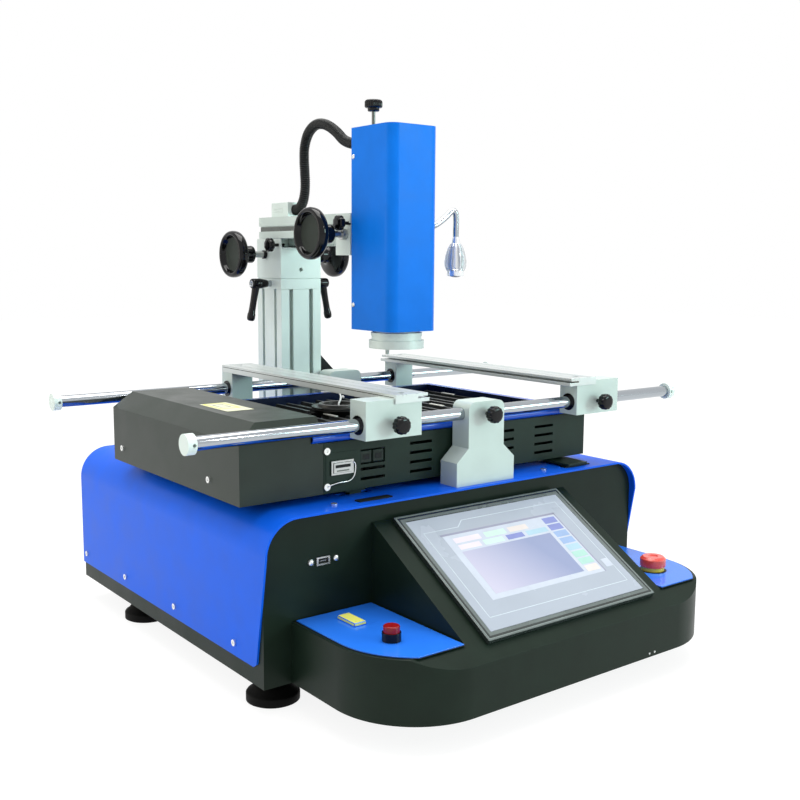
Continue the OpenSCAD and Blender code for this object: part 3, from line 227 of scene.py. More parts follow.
LENS = surface("lens", (0.045, 0.05, 0.07), 0.20, vary=0.5, vary_scale=500, grain=0.6, grain_scale=420,
               grain_depth=0.0004, second=(0.20, 0.21, 0.26), second_at=0.60, second_scale=420, spec=0.3)
WHITE = surface("white_plastic", (0.80, 0.81, 0.80), 0.35, vary=0.03, grain=0.08, grain_scale=900)
IVORY = surface("ivory", (0.74, 0.75, 0.70), 0.40, vary=0.05, grain=0.10, grain_scale=900)

# what each CAD node is made of
NODE_MAT = {
    "chassis": DARK, "top_cover": BLUE, "case_screws": BRIGHT, "feet": FOOT, "console": DARK,
    "deck_panels": DECK_BLUE, "screen_bezel": BEZEL, "screen_glass": OVERLAY, "probe_socket": YELLOW,
    "button_collar": BLACK, "start_button": DARK_RED, "estop_base": AMBER, "estop_button": RED,
    "data_port": BRIGHT, "power_inlet": BLACK_MATTE, "power_supply": STEEL, "control_board": GREEN,
    "rail_posts": CAST, "rods": CHROME, "rod_caps": SILVER, "bar_left": BAR, "bar_right": BAR,
    "blocks_left": CAST, "blocks_right": CAST, "sleeves_left": BLACK, "sleeves_right": BLACK,
    "lock_knob_left": BLACK, "lock_knob_right": BLACK, "rod_lock_front": BLACK, "rod_lock_rear": BLACK,
    "heater_tray": TRAY, "end_cover": COVER, "heater_frame": FRAME_BLUE, "ir_heaters": HEATER,
    "lower_nozzle": DARK_STEEL, "tray_connector": STEEL, "tray_screws": BRIGHT, "column": SILVER,
    "column_gusset": BLACK_MATTE, "saddle": SILVER, "arm_beam": ARM, "cable_box": SILVER,
    "head_carrier": SILVER, "reach_shaft": STEEL, "reach_wheels": BLACK, "lift_shaft": STEEL,
    "lift_wheel": BLACK, "arm_lock": BLACK, "lift_lock": BLACK, "lever_left": BLACK, "lever_right": BLACK,
    "head_shell": HEAD_BLUE, "head_slide": STEEL, "air_core": STEEL, "nozzle": SILVER, "top_knob": BLACK,
    "hose_collar": HOSE, "air_hose": HOSE, "lamp": CHROME, "lamp_lens": LENS,
}
NODE_BODY = {n: b for b, ns in frame["record"]["behaviour"]["bodies"].items() for n in ns}

for name, mat in NODE_MAT.items():
    obj = frame["nodes"][name]
    if not obj.material_slots:
        obj.data.materials.append(mat)
    for slot in obj.material_slots:
        slot.material = mat


# ---------------------------------------------------------------- mesh helpers
def link(name, bm, mat, body, smooth=None):
    """Makes an object of the mesh bm with the materials mat, smoothed when smooth is given and riding on a
    body when one is given.
    """
    me = bpy.data.meshes.new(name)
    bm.to_mesh(me)
    bm.free()
    obj = bpy.data.objects.new(name, me)
    bpy.context.collection.objects.link(obj)
    for m in (mat if isinstance(mat, (list, tuple)) else [mat]):
        me.materials.append(m)
    if smooth is not None:
        soften(obj, smooth)
    if body:
        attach(obj, body)
    return obj


def soften(obj, angle=35):
    """Smooth shading that keeps edges sharper than angle."""
    me = obj.data
    lim = math.radians(angle)
    bm = bmesh.new()
    bm.from_mesh(me)
    for f in bm.faces:
        f.smooth = True
    for ed in bm.edges:
        ed.smooth = not (len(ed.link_faces) != 2 or ed.calc_face_angle(0.0) > lim)
    bm.to_mesh(me)
    bm.free()


def bake(obj):
    """Applies an object's modifiers to its mesh."""
    new = bpy.data.meshes.new_from_object(obj.evaluated_get(bpy.context.evaluated_depsgraph_get()))
    obj.modifiers.clear()
    obj.data = new


SHARP = math.radians(32)  # edges that turn by more than this are rounded


def rounded(node, width, dissolve=True, rim=None, rim_width=0.0, edit=None):
    """A copy of a CAD node with its sharp edges rounded, shown in the node's place. edit changes the mesh
    first. rim picks the edges that are rounded before the others, by rim_width."""
    src = frame["nodes"][node]
    bm = bmesh.new()
    bm.from_mesh(src.data)
    bmesh.ops.remove_doubles(bm, verts=bm.verts, dist=1e-6)
    if dissolve:
        bmesh.ops.dissolve_limit(bm, angle_limit=math.radians(0.6), verts=bm.verts, edges=bm.edges)
    if edit:
        edit(bm)
    if rim:
        edges = [ed for ed in bm.edges if ed.calc_face_angle(0.0) > SHARP and rim(ed)]
        bmesh.ops.bevel(bm, geom=edges, offset=rim_width, segments=4, affect="EDGES", profile=0.5,
                         clamp_overlap=True)
    me = bpy.data.meshes.new(node + "_r")
    bm.to_mesh(me)
    bm.free()
    obj = bpy.data.objects.new(node + "_r", me)
    bpy.context.collection.objects.link(obj)
    me.materials.append(NODE_MAT[node])
    mod = obj.modifiers.new("b", "BEVEL")
    mod.width = width
    mod.segments = 2
    mod.limit_method = "ANGLE"
    mod.angle_limit = SHARP
    mod.use_clamp_overlap = True
    mod.miter_outer = "MITER_ARC"
    bake(obj)
    soften(obj, 40)
    mod = obj.modifiers.new("n", "WEIGHTED_NORMAL")
    mod.mode = "FACE_AREA"
    mod.weight = 100
    mod.keep_sharp = True
    bake(obj)
    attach(obj, NODE_BODY[node])
    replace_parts(obj, node)
    return obj


# ---------------------------------------------------------------- the air hose
def catmull(pts, steps):
    """A smooth curve through pts, with steps points for each span."""
    out = []
    n = len(pts)
    for i in range(n - 1):
        p0 = pts[max(i - 1, 0)]
        p1, p2 = pts[i], pts[i + 1]
        p3 = pts[min(i + 2, n - 1)]
        for k in range(steps):
            t = k / steps
            out.append(0.5 * ((2 * p1) + (p2 - p0) * t + (2 * p0 - 5 * p1 + 4 * p2 - p3) * t * t
                              + (3 * p1 - p0 - 3 * p2 + p3) * t * t * t))
    out.append(pts[-1].copy())
    return out


def resample(pts, step):
    """Points along the line pts that lie step apart."""
    out = [pts[0].copy()]
    left = step
    for a, b in zip(pts, pts[1:]):
        d = (b - a).length
        while d > 0 and left <= d:
            a = a + (b - a) * (left / d)
            out.append(a.copy())
            d = (b - a).length
            left = step
        left -= d
    return out


def tube(bm, pts, radius, sides):
    """Sweeps a closed ring along pts. Its radius is a number or a function of the ring's index."""
    rings = []
    for i, p in enumerate(pts):
        t = (pts[min(i + 1, len(pts) - 1)] - pts[max(i - 1, 0)]).normalized()
        u = Vector((1, 0, 0)) - t * t.x
        u = u.normalized() if u.length > 0.2 else (Vector((0, 1, 0)) - t * t.y).normalized()
        v = t.cross(u)
        r = radius(i) if callable(radius) else radius
        rings.append([bm.verts.new(p + r * (math.cos(a) * u + math.sin(a) * v))
                      for a in (2 * math.pi * k / sides for k in range(sides))])
    for a, b in zip(rings, rings[1:]):
        for k in range(sides):
            bm.faces.new((a[k], a[(k + 1) % sides], b[(k + 1) % sides], b[k]))
    bm.faces.new(list(reversed(rings[0])))
    bm.faces.new(rings[-1])


HOSE_PATH = [(-4, 208, 524), (-4, 220, 524), (-4, 236, 529), (-3, 252, 539), (-2, 268, 547), (-1, 284, 552),
             (0, 300, 553), (1, 314, 549), (2, 325, 541), (2, 331, 528), (2, 332, 514), (2, 331, 500),
             (2, 330, 486), (2, 331, 474), (2, 335, 463), (2, 342, 456), (2, 351, 453), (2, 358, 453)]
route = catmull([P(*p) for p in HOSE_PATH], 8)
fine = resample(route, 0.00046)
RIB = [0.5, 1.0, 1.0, 0.5, 0.0]  # one corrugation: its height at each ring
HOSE_SIDES = 28
bm = bmesh.new()
tube(bm, fine, lambda i: 0.00545 + 0.00085 * RIB[i % len(RIB)], sides=HOSE_SIDES)
bm.faces.ensure_lookup_table()
for i in range(1, len(fine) - 1, len(RIB)):  # the crest of each corrugation gets a lighter, glossier copy of the rubber: a painted glint
    for f in bm.faces[HOSE_SIDES * i:HOSE_SIDES * (i + 1)]:
        f.material_index = 1
hose = link("hose", bm, [HOSE, RIDGE_GLINT], None, smooth=75)
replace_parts(hose, "air_hose")
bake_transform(hose)

# ---------------------------------------------------------------- softened CAD pieces
def small_foot(bm):
    """The plate at the tray's right front is as small as in the photograph."""
    lo, hi = P(137, 8, 161.5), P(191, 56, 165)
    for v in bm.verts:
        if lo.y < v.co.y < hi.y and lo.z < v.co.z < hi.z:
            for wide, narrow in ((138, 146), (190, 176)):
                if abs(v.co.x - P(wide, 0, 0).x) < 0.0003:
                    v.co.x = P(narrow, 0, 0).x


PIECE = {}
EDITS = {"heater_tray": small_foot}
# node: how wide its edges are rounded, in metres
for n, w in {
    "chassis": 0.0004, "estop_button": 0.0012, "start_button": 0.0006, "button_collar": 0.0005,
    "estop_base": 0.0004, "heater_frame": 0.0005, "deck_panels": 0.0003, "screen_bezel": 0.0014,
    "rail_posts": 0.0006, "rod_caps": 0.0008, "bar_left": 0.0004, "bar_right": 0.0004,
    "blocks_left": 0.0006, "blocks_right": 0.0006, "heater_tray": 0.0005, "end_cover": 0.0012,
    "column": 0.0004, "saddle": 0.0005, "arm_beam": 0.0004, "cable_box": 0.0008, "head_carrier": 0.0005,
    "head_shell": 0.0018, "top_cover": 0.0004, "nozzle": 0.0005,
}.items():
    PIECE[n] = rounded(n, w, dissolve=n != "heater_tray", edit=EDITS.get(n))


def console_rim(ed):
    """The outer top edge of the console's apron."""
    a, b = (v.co for v in ed.verts)
    top = P(0, 0, CONSOLE_Z).z
    return abs(a.z - top) < 0.0008 and abs(b.z - top) < 0.0008 and min(a.y, b.y) < P(0, -20, 0).y


PIECE["console"] = rounded("console", 0.0008, rim=console_rim, rim_width=0.0035)

# painted shade: the frame's inner wall gets a dark navy copy of the frame's blue paint
frame_piece = PIECE["heater_frame"]
frame_piece.data.materials.append(FRAME_WALL_SHADE)
for f in frame_piece.data.polygons:
    if abs(f.normal.z) < 0.5 and f.center.z < P(0, 0, 221.5).z and f.center.y > P(0, 44, 0).y:
        f.material_index = 1

# ---------------------------------------------------------------- turned pieces
def frame_of(axis):
    """The axis and two directions square to it."""
    a = Vector(axis).normalized()
    b = Vector((0, 0, 1)) if abs(a.z) < 0.9 else Vector((1, 0, 0))
    u = a.cross(b).normalized()
    return a, u, a.cross(u)


def turn(bm, profile, origin, axis, segs=48, lobes=0, depth=0.0, lobe_from=0.0, mats=None, sharp=2.0,
         loop=False):
    """Revolves (radius, height) points in mm round an axis. lobes scallop the radii above lobe_from."""
    a, u, v = frame_of(axis)
    o = P(*origin)
    rings = []
    for r, h in profile:
        ring = []
        for k in range(segs):
            t = 2 * math.pi * k / segs
            rr = r
            if lobes and r > lobe_from:
                c = 0.5 + 0.5 * math.cos(lobes * t)
                rr = r * (1 - depth * c ** sharp)
            ring.append(bm.verts.new(o + (h * a + rr * (math.cos(t) * u + math.sin(t) * v)) / 1000))
        rings.append(ring)
    for i, (p, q) in enumerate(zip(rings, rings[1:] + (rings[:1] if loop else []))):
        for k in range(segs):
            f = bm.faces.new((p[k], p[(k + 1) % segs], q[(k + 1) % segs], q[k]))
            if mats:
                f.material_index = mats[i]
    if not loop:
        bm.faces.new(list(reversed(rings[0])))
        f = bm.faces.new(rings[-1])
        if mats:
            f.material_index = mats[-1]


WHEEL = [(9.4, 0), (10.6, 0.5), (11, 1.6), (10.9, 5), (10.6, 9), (10.9, 13), (12.0, 15), (15, 16.6),
         (20, 18.0), (24.6, 19.2), (27.2, 20.4), (28.8, 22.4), (29.4, 25), (29.4, 28), (28.9, 30.6),
         (27.6, 32.4), (25.8, 33.0), (24.4, 32.6), (23.4, 31.2), (22.4, 28.6), (21.4, 26.4), (20.2, 25.6),
         (16, 25.4), (9, 25.3), (1, 25.3)]
WHEEL_MATS = [0] * 20 + [1] * 5
COLLAR = [(4, 0), (5.2, 0.1), (5.5, 0.5), (5.5, 3.5), (5.2, 3.9), (4, 4)]


def wheels(name, node, places, collars=()):
    """Hand wheels with a dished face, and plain collars on their shaft, in a CAD node's place."""
    bm = bmesh.new()
    for origin, axis in places:
        turn(bm, WHEEL, origin, axis, segs=96, mats=WHEEL_MATS)
    for origin, axis in collars:
        turn(bm, COLLAR, origin, axis, segs=40)
    obj = link(name, bm, [BLACK, DISH], NODE_BODY[node], smooth=50)
    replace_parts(obj, node)
    return obj


LEFTWARD, RIGHTWARD, UPWARD = (-1, 0, 0), (1, 0, 0), (0, 0, 1)
wheels("reach_wheel_pair", "reach_wheels", [((-36, *REACH_YZ), LEFTWARD), ((64, *REACH_YZ), RIGHTWARD)],
       [((-16.3, *REACH_YZ), LEFTWARD), ((44.3, *REACH_YZ), RIGHTWARD)])
wheels("lift_wheel_turned", "lift_wheel", [((-36, *LIFT_YZ), LEFTWARD)])

KNOB = [(2, 0), (2, 13), (6.6, 13.2), (8.2, 13.9), (8.9, 15.2), (9, 16), (9, 20.6), (8.6, 22.0), (7.4, 23.0),
        (5, 23.4), (2.4, 23.5)]
for name, node, pos, axis in [
        ("knob_left", "lock_knob_left", (-103, 12.95, ROD_Z), (0, -1, 0)),
        ("knob_right", "lock_knob_right", (187.5, 12.95, ROD_Z), (0, -1, 0)),
        ("knob_front", "rod_lock_front", (18, 12.95, ROD_Z), (0, -1, 0)),
        ("knob_rear", "rod_lock_rear", (64, 351.55, ROD_Z), (0, 1, 0))]:
    bm = bmesh.new()
    turn(bm, KNOB, pos, axis, segs=96, lobes=12, depth=0.10, lobe_from=7.8, sharp=1.6)
    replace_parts(link(name + "_star", bm, BLACK, NODE_BODY[node], smooth=50), node)

THUMB = [(2, -9), (2, 8.2), (6.6, 8.4), (8.2, 9.0), (9, 10.4), (9, 14), (8.4, 15.4), (6.8, 16.1), (3, 16.2)]
for name, node, pos in [("arm_thumb", "arm_lock", (-16, 367, 409)),
                        ("lift_thumb", "lift_lock", (-16, 211, 432.8))]:
    bm = bmesh.new()
    turn(bm, THUMB, pos, LEFTWARD, segs=80, lobes=8, depth=0.10, lobe_from=7.8, sharp=1.6)
    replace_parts(link(name, bm, BLACK, NODE_BODY[node], smooth=50), node)

TOP = [(2, -8), (2, 17), (5.9, 17.2), (6.6, 18), (6.6, 20.6), (8.6, 21.0), (9.8, 21.8), (10, 23), (10, 27.4),
       (9.5, 28.8), (8.2, 29.6), (3, 29.9), (2.6, 29.6)]
bm = bmesh.new()
turn(bm, TOP, (-4, 178, 538), UPWARD, segs=96, lobes=24, depth=0.07, lobe_from=9.2, sharp=2.0,
     mats=[1, 1] + [0] * 11)
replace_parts(link("top_knob_turned", bm, [BLACK, STEM_AND_GROOVE_SHADE], "head_knob", smooth=50), "top_knob")

FOOT_PROFILE = [(24.5, 0), (26, 0.8), (26, 7.6), (25.2, 8.8), (23.2, 9.4), (19, 14.6), (15.4, 17.6),
                (12.0, 18.4), (10, 19.2), (10, 26.9)]
bm = bmesh.new()
for x in (-220, 220):
    for y in (43, 331):
        turn(bm, FOOT_PROFILE, (x, y, -OZ), UPWARD, segs=56)
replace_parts(link("feet_turned", bm, FOOT, "base", smooth=40), "feet")


LEVER_HUB = [(4, -8), (4, 4.6), (4.6, 5), (5.2, 8), (6.0, 12), (6.5, 15.5), (6.5, 25), (6.1, 27),
             (5.0, 27.9), (4.4, 27.9), (4.1, 27.2), (2.2, 27.2), (1.6, 26.2)]
LEVER_GRIP = [(-2, 4.6), (0, 5.0), (6, 4.9), (14, 4.5), (24, 4.25), (34, 4.3), (38, 4.6), (40, 5.2),
              (44, 5.25), (47, 4.6), (48.4, 2.6)]  # distance along the grip and its radius


def lever(name, node, side):
    """A clamping lever: its hub on the column's side and a cast grip that leans outwards."""
    x0 = 14 + side * 30
    bm = bmesh.new()
    turn(bm, LEVER_HUB, (x0, 387, 360), (side, 0, 0), segs=44, mats=[1] + [0] * 8 + [1] * 4)
    tilt = math.radians(11)
    d = Vector((side * math.sin(tilt), 0, -math.cos(tilt)))
    a = P(x0 + side * 20.5, 387, 360)
    tube(bm, [a + d * h / 1000 for h, r in LEVER_GRIP], lambda i: LEVER_GRIP[i][1] / 1000, sides=28)
    obj = link(name, bm, [BLACK, CHROME], NODE_BODY[node], smooth=50)
    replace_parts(obj, node)


lever("lever_left_cast", "lever_left", -1)
lever("lever_right_cast", "lever_right", 1)

# ---------------------------------------------------------------- lamp: bent tube, finned bell, lens
bm = bmesh.new()
NECK = [(44, 165, 430), (56, 165, 430), (74, 165, 431), (90, 165, 440), (101, 165, 448.5),
        (106.5, 165, 447.5), (108, 165, 440), (108, 165, 428), (108, 165, 412)]
tube(bm, resample(catmull([P(*q) for q in NECK], 8), 0.0012), lambda i: 0.0034 + 0.00026 * (i % 2), sides=24)
for f in bm.faces:
    f.material_index = 1
turn(bm, [(3.6, 48), (4.6, 44), (5.2, 38), (5.6, 30), (6.4, 20), (7.4, 10), (9.6, 9), (10, 8), (10, 2),
          (9.6, 1.4)], LAMP_AT, UPWARD, segs=40)
FIN = [(3.5, 41), (6.6, 39.5), (9.8, 34), (12.2, 26), (13.4, 19), (13.2, 13.5), (11.6, 9.2), (9.4, 6.5),
       (5, 6.5)]
FINS, FIN_HALF = 14, 0.45
for k in range(FINS):
    t = 2 * math.pi * k / FINS
    u = Vector((math.cos(t), math.sin(t), 0))
    w = Vector((-math.sin(t), math.cos(t), 0))
    o = P(*LAMP_AT)
    sides = []
    for s in (-FIN_HALF, FIN_HALF):
        sides.append([bm.verts.new(o + (r * u + s * w + Vector((0, 0, h))) / 1000) for r, h in FIN])
    bm.faces.new(list(reversed(sides[0])))
    bm.faces.new(sides[1])
    n = len(FIN)
    for i in range(n):
        bm.faces.new((sides[0][i], sides[0][(i + 1) % n], sides[1][(i + 1) % n], sides[1][i]))
lamp = link("lamp_finned", bm, [LAMP_SILVER, CHROME], "light", smooth=50)
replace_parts(lamp, "lamp")

# ---------------------------------------------------------------- screen artwork
TILT = math.radians(30.5)  # the screen's slope
SC = (6.0, -65.9, CONSOLE_Z + (130 - 65.9) * math.tan(TILT))  # the middle of the slope
PRINT = 4.70  # height of the underside of all print over the slope


def S(u, v, w):
    """Slope point in mm: u to the right, v up the slope, w out of it."""
    return P(SC[0] + u, SC[1] + v * math.cos(TILT) - w * math.sin(TILT),
             SC[2] + v * math.sin(TILT) + w * math.cos(TILT))


def prism(bm, corners, w0, w1, index):
    """A thin plate on the slope with four corners, between the heights w0 and w1."""
    lo = [bm.verts.new(S(u, v, w0)) for u, v in corners]
    hi = [bm.verts.new(S(u, v, w1)) for u, v in corners]
    faces = [list(reversed(lo)), hi] + [[lo[k], lo[(k + 1) % 4], hi[(k + 1) % 4], hi[k]] for k in range(4)]
    for f in faces:
        bm.faces.new(f).material_index = index


def slab(bm, u0, v0, u1, v1, w0, w1, index):
    prism(bm, ((u0, v0), (u1, v0), (u1, v1), (u0, v1)), w0, w1, index)


def print_mat(name, color, glow=0.0):
    mat = surface(name, color, 0.24, vary=0.04, vary_scale=80, rough_vary=0.03, grain=0.03, grain_scale=1200,
                  coat=0.2)
    if glow:
        b = next(n for n in mat.node_tree.nodes if n.type == "BSDF_PRINCIPLED")
        b.inputs["Emission Color"].default_value = (*color, 1)
        b.inputs["Emission Strength"].default_value = glow
    return mat


def picture_mat(name):
    """The video window: a soft lilac cloud that is lighter towards its lower left corner."""
    mat = print_mat(name, (0.40, 0.43, 0.60), 0.0)
    nt = mat.node_tree
    b = next(n for n in nt.nodes if n.type == "BSDF_PRINCIPLED")
    tc = nt.nodes.new("ShaderNodeTexCoord")
    sep = nt.nodes.new("ShaderNodeSeparateXYZ")
    nt.links.new(tc.outputs["Object"], sep.inputs[0])
    low = S(-60, -35, 5)
    high = S(50, 20, 5)
    mr = nt.nodes.new("ShaderNodeMapRange")
    dif = nt.nodes.new("ShaderNodeMath")
    dif.operation = "ADD"
    nt.links.new(sep.outputs["X"], dif.inputs[0])
    nt.links.new(sep.outputs["Z"], dif.inputs[1])
    mr.inputs["From Min"].default_value = low.x + low.z
    mr.inputs["From Max"].default_value = high.x + high.z
    nt.links.new(dif.outputs[0], mr.inputs["Value"])
    ramp = nt.nodes.new("ShaderNodeValToRGB")
    ramp.color_ramp.elements[0].color = (0.50, 0.48, 0.60, 1)
    ramp.color_ramp.elements[1].position = 0.75
    ramp.color_ramp.elements[1].color = (0.23, 0.27, 0.43, 1)
    nt.links.new(mr.outputs[0], ramp.inputs[0])
    nt.links.new(ramp.outputs[0], b.inputs["Base Color"])
    b.inputs["Emission Color"].default_value = (0.45, 0.46, 0.62, 1)
    b.inputs["Emission Strength"].default_value = 0.10
    return mat


SCREEN_MATS = [
    print_mat("lcd_white", (0.51, 0.55, 0.64), 0.07), picture_mat("lcd_picture"),
    print_mat("lcd_violet", (0.20, 0.23, 0.50), 0.1), print_mat("lcd_blue", (0.27, 0.38, 0.60), 0.1),
    print_mat("lcd_teal", (0.36, 0.52, 0.62), 0.1), print_mat("lcd_green", (0.36, 0.58, 0.52), 0.1),
    print_mat("lcd_cream", (0.66, 0.60, 0.58), 0.1), print_mat("lcd_mint", (0.52, 0.70, 0.62), 0.1),
    print_mat("lcd_pink", (0.68, 0.62, 0.72), 0.1), print_mat("lcd_edge", (0.30, 0.30, 0.40)),
    print_mat("ink_line", (0.60, 0.67, 0.73)),
]
bm = bmesh.new()
U0, U1, V0, V1 = -76.6, 77.4, -40.7, 45.3  # the lit picture's edges


def cell(a0, b0, a1, b1, w, index):
    """A field of the picture, placed by shares of its width and height from the upper left."""
    slab(bm, U0 + a0 * (U1 - U0), V1 - b1 * (V1 - V0), U0 + a1 * (U1 - U0),
         V1 - b0 * (V1 - V0), PRINT, w, index)


cell(-0.012, -0.03, 1.012, 0.0, 4.80, 9)
cell(1.0, -0.03, 1.012, 1.0, 4.80, 9)
cell(0, 0, 1, 1, 4.82, 0)
cell(0.055, 0.27, 0.835, 0.93, 4.90, 1)
for i, idx in enumerate([2, 2, 3, 3, 4, 5, 5, 6]):
    cell(0.865, 0.03 + i * 0.118, 0.985, 0.03 + i * 0.118 + 0.096, 4.90, idx)
for a0, a1, idx in [(0.06, 0.28, 8), (0.32, 0.50, 7), (0.53, 0.70, 6), (0.73, 0.84, 0)]:
    cell(a0, 0.055, a1, 0.135, 4.90, idx)
for a0, a1, idx in [(0.06, 0.24, 8), (0.27, 0.44, 7), (0.47, 0.62, 2), (0.65, 0.84, 4)]:
    cell(a0, 0.165, a1, 0.240, 4.90, idx)
slab(bm, 84, -36.5, 94, -25.5, PRINT, 4.95, 0)
LINE = [(-94, 54), (-50, 54), (-40, 62), (94, 62), (94, -58), (-94, -58)]
LINE_HALF = 0.35
for (a, b), (c, d) in zip(LINE, LINE[1:] + LINE[:1]):
    q = Vector((c - a, d - b)).normalized() * LINE_HALF
    nrm = Vector((-q.y, q.x))
    prism(bm, ((a - q.x - nrm.x, b - q.y - nrm.y), (c + q.x - nrm.x, d + q.y - nrm.y),
               (c + q.x + nrm.x, d + q.y + nrm.y), (a - q.x + nrm.x, b - q.y + nrm.y)), PRINT, 4.84, 10)
link("screen_print", bm, SCREEN_MATS, "base")

# the bezel's face gets a lighter copy of the bezel's paint as a painted sheen, with a bright outer ring as a
# painted edge highlight and a dark flat ring as the painted shade of a groove
slope_up = (S(0, 0, 1) - S(0, 0, 0)).normalized()
bezel = PIECE["screen_bezel"]
bezel.data.materials.append(BEZEL_FACE_SHEEN)
for f in bezel.data.polygons:
    if f.normal.dot(slope_up) > 0.85:
        f.material_index = 1
SCREEN_W, SCREEN_L, BEZEL_TOP = 226, 163, 5.05


def ring(bm, inset, width, w0, w1, index):
    """A flat ring on the bezel's face, inset from its outer edge."""
    u, v = SCREEN_W / 2 - inset, SCREEN_L / 2 - inset
    slab(bm, -u, v - width, u, v, w0, w1, index)
    slab(bm, -u, -v, u, -v + width, w0, w1, index)
    slab(bm, -u, -v + width, -u + width, v - width, w0, w1, index)
    slab(bm, u - width, -v + width, u, v - width, w0, w1, index)


bm = bmesh.new()
# bright outer ring: painted highlight; dark inner ring standing for a groove: painted shade
ring(bm, 1.5, 0.9, BEZEL_TOP - 0.2, BEZEL_TOP + 0.06, 0)
ring(bm, 2.4, 2.4, BEZEL_TOP - 0.2, BEZEL_TOP + 0.03, 1)
link("bezel_highlight_and_shade_rings", bm, [BEZEL_EDGE_HIGHLIGHT, BEZEL], "base")

# ---------------------------------------------------------------- small fittings
def box(bm, x0, y0, z0, x1, y1, z1, index=0, edge=0.0):
    """A box in machine millimetres, its edges rounded by edge."""
    made = bmesh.ops.create_cube(bm, size=1.0)
    mid = P((x0 + x1) / 2, (y0 + y1) / 2, (z0 + z1) / 2)
    size = Vector((x1 - x0, y1 - y0, z1 - z0)) / 1000
    for v in made["verts"]:
        v.co = Vector((v.co.x * size.x, v.co.y * size.y, v.co.z * size.z)) + mid
    faces = {f for v in made["verts"] for f in v.link_faces}
    for f in faces:
        f.material_index = index
    if edge:
        bmesh.ops.bevel(bm, geom=list({ed for f in faces for ed in f.edges}), offset=edge / 1000, segments=2,
                        affect="EDGES", profile=0.5)


def frame_lines(bm, x0, y0, x1, y1, z0, z1, w, index):
    """Thin raised border of width w round a level rectangle."""
    box(bm, x0, y0, z0, x1, y0 + w, z1, index)
    box(bm, x0, y1 - w, z0, x1, y1, z1, index)
    box(bm, x0, y0 + w, z0, x0 + w, y1 - w, z1, index)
    box(bm, x1 - w, y0 + w, z0, x1, y1 - w, z1, index)


CREAM = surface("label_cream", (0.70, 0.70, 0.50), 0.45, vary=0.04, grain=0.05, grain_scale=900)
LINE_YELLOW = surface("label_yellow", (0.72, 0.70, 0.10), 0.45, vary=0.04, grain=0.05, grain_scale=900)
bm = bmesh.new()
box(bm, -222, 122, 242.05, -192, 182, 242.35, 0, edge=0.1)
frame_lines(bm, -220, 140, -197, 180, 242.35, 242.45, 2.2, 1)
frame_lines(bm, -214, 150, -203, 170, 242.35, 242.42, 0.8, 2)
link("rating_plate", bm, [CREAM, LINE_YELLOW, DARK], "preheater")

SCREW = [(1.3, -0.3), (2.5, -0.2), (2.6, 0.5), (2.1, 1.2), (1.2, 1.5), (1.0, 0.9)]
bm = bmesh.new()
for z in (340, 506):
    turn(bm, SCREW, (-20, 194, z), LEFTWARD, segs=28)
    turn(bm, SCREW, (48, 194, z), RIGHTWARD, segs=28)
link("head_screws", bm, BRIGHT, "head", smooth=40)
bm = bmesh.new()
for x in (98.6, 106.5):
    turn(bm, [(r * 0.42, h * 0.42) for r, h in SCREW], (x, -151, 4), (0, -1, 0), segs=24)
link("console_pins", bm, WHITE, "base", smooth=40)

bm = bmesh.new()
turn(bm, [(12.4, 0.02), (14.5, 0.02), (14.7, 0.2), (14.4, 0.45), (12.4, 0.5)], (178, -88, 60.4), UPWARD,
     segs=64, loop=True)
link("estop_gasket", bm, BLACK_MATTE, "base", smooth=40)

bm = bmesh.new()
box(bm, -190.4, 8.3, 109.1, -179.6, 14.6, 113.9, 0)
box(bm, -188.6, 8.15, 110.9, -181.4, 8.4, 112.1, 1, edge=0.1)
link("data_insert", bm, [BLACK_MATTE, STEEL], "base")
bm = bmesh.new()
for x in (-199, -171):
    turn(bm, [(2.9, -0.3), (2.9, 0.3), (2.4, 0.9), (1.5, 1.3), (0.8, 1.35), (0.6, 1.0)], (x, 6.5, 112),
         (0, -1, 0), segs=28)
link("data_screws", bm, BRIGHT, "base", smooth=40)

bm = bmesh.new()
box(bm, -184.6, -41.8, 60.42, -156.8, -12.4, 60.56, 0)
box(bm, -183.4, -41.2, 60.55, -170.0, -13.0, 63.8, 1, edge=0.7)
box(bm, -179.2, -38.0, 63.75, -178.4, -35.6, 63.83, 2)
box(bm, -175.2, -38.0, 63.75, -174.4, -35.6, 63.83, 2)
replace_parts(link("probe_socket_front", bm, [DECK_BLUE, YELLOW, AMBER], "base"), "probe_socket")

bm = bmesh.new()
box(bm, -163.0, 35.5, 175.4, -127.2, 35.98, 206.6, 0, edge=0.15)
box(bm, -158.4, 33.9, 184.2, -131.2, 35.52, 199.2, 1, edge=0.6)
box(bm, -155.6, 33.2, 186.6, -134.0, 33.92, 196.8, 1, edge=0.3)
box(bm, -153.6, 33.0, 191.6, -136.0, 33.25, 194.6, 2)
box(bm, -152.0, 33.0, 188.0, -137.6, 33.25, 189.4, 3)
for x in (-121.4, -106.4):
    box(bm, x, 36.8, 192.2, x + 13.4, 44, 204.4, 4, edge=0.8)
    box(bm, x + 2.6, 36.5, 195.4, x + 10.8, 36.85, 201.2, 5, edge=0.3)
CONNECTOR_MATS = [TRAY, STEEL, BLACK_MATTE, STEM_AND_GROOVE_SHADE, DISH, BLACK_MATTE]
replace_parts(link("tray_connector_set", bm, CONNECTOR_MATS, "preheater"), "tray_connector")
bm = bmesh.new()
BAIL = [(-132.2, 33.4, 196), (-130.2, 33.2, 193), (-130.3, 33.2, 187), (-132.4, 33.2, 181),
        (-138, 33.2, 177.4), (-150, 33.3, 177), (-157.4, 33.6, 175.6), (-160.6, 34.0, 174.6)]
tube(bm, catmull([P(*q) for q in BAIL], 6), 0.00055, sides=10)
link("connector_bail", bm, BRIGHT, "preheater", smooth=60)

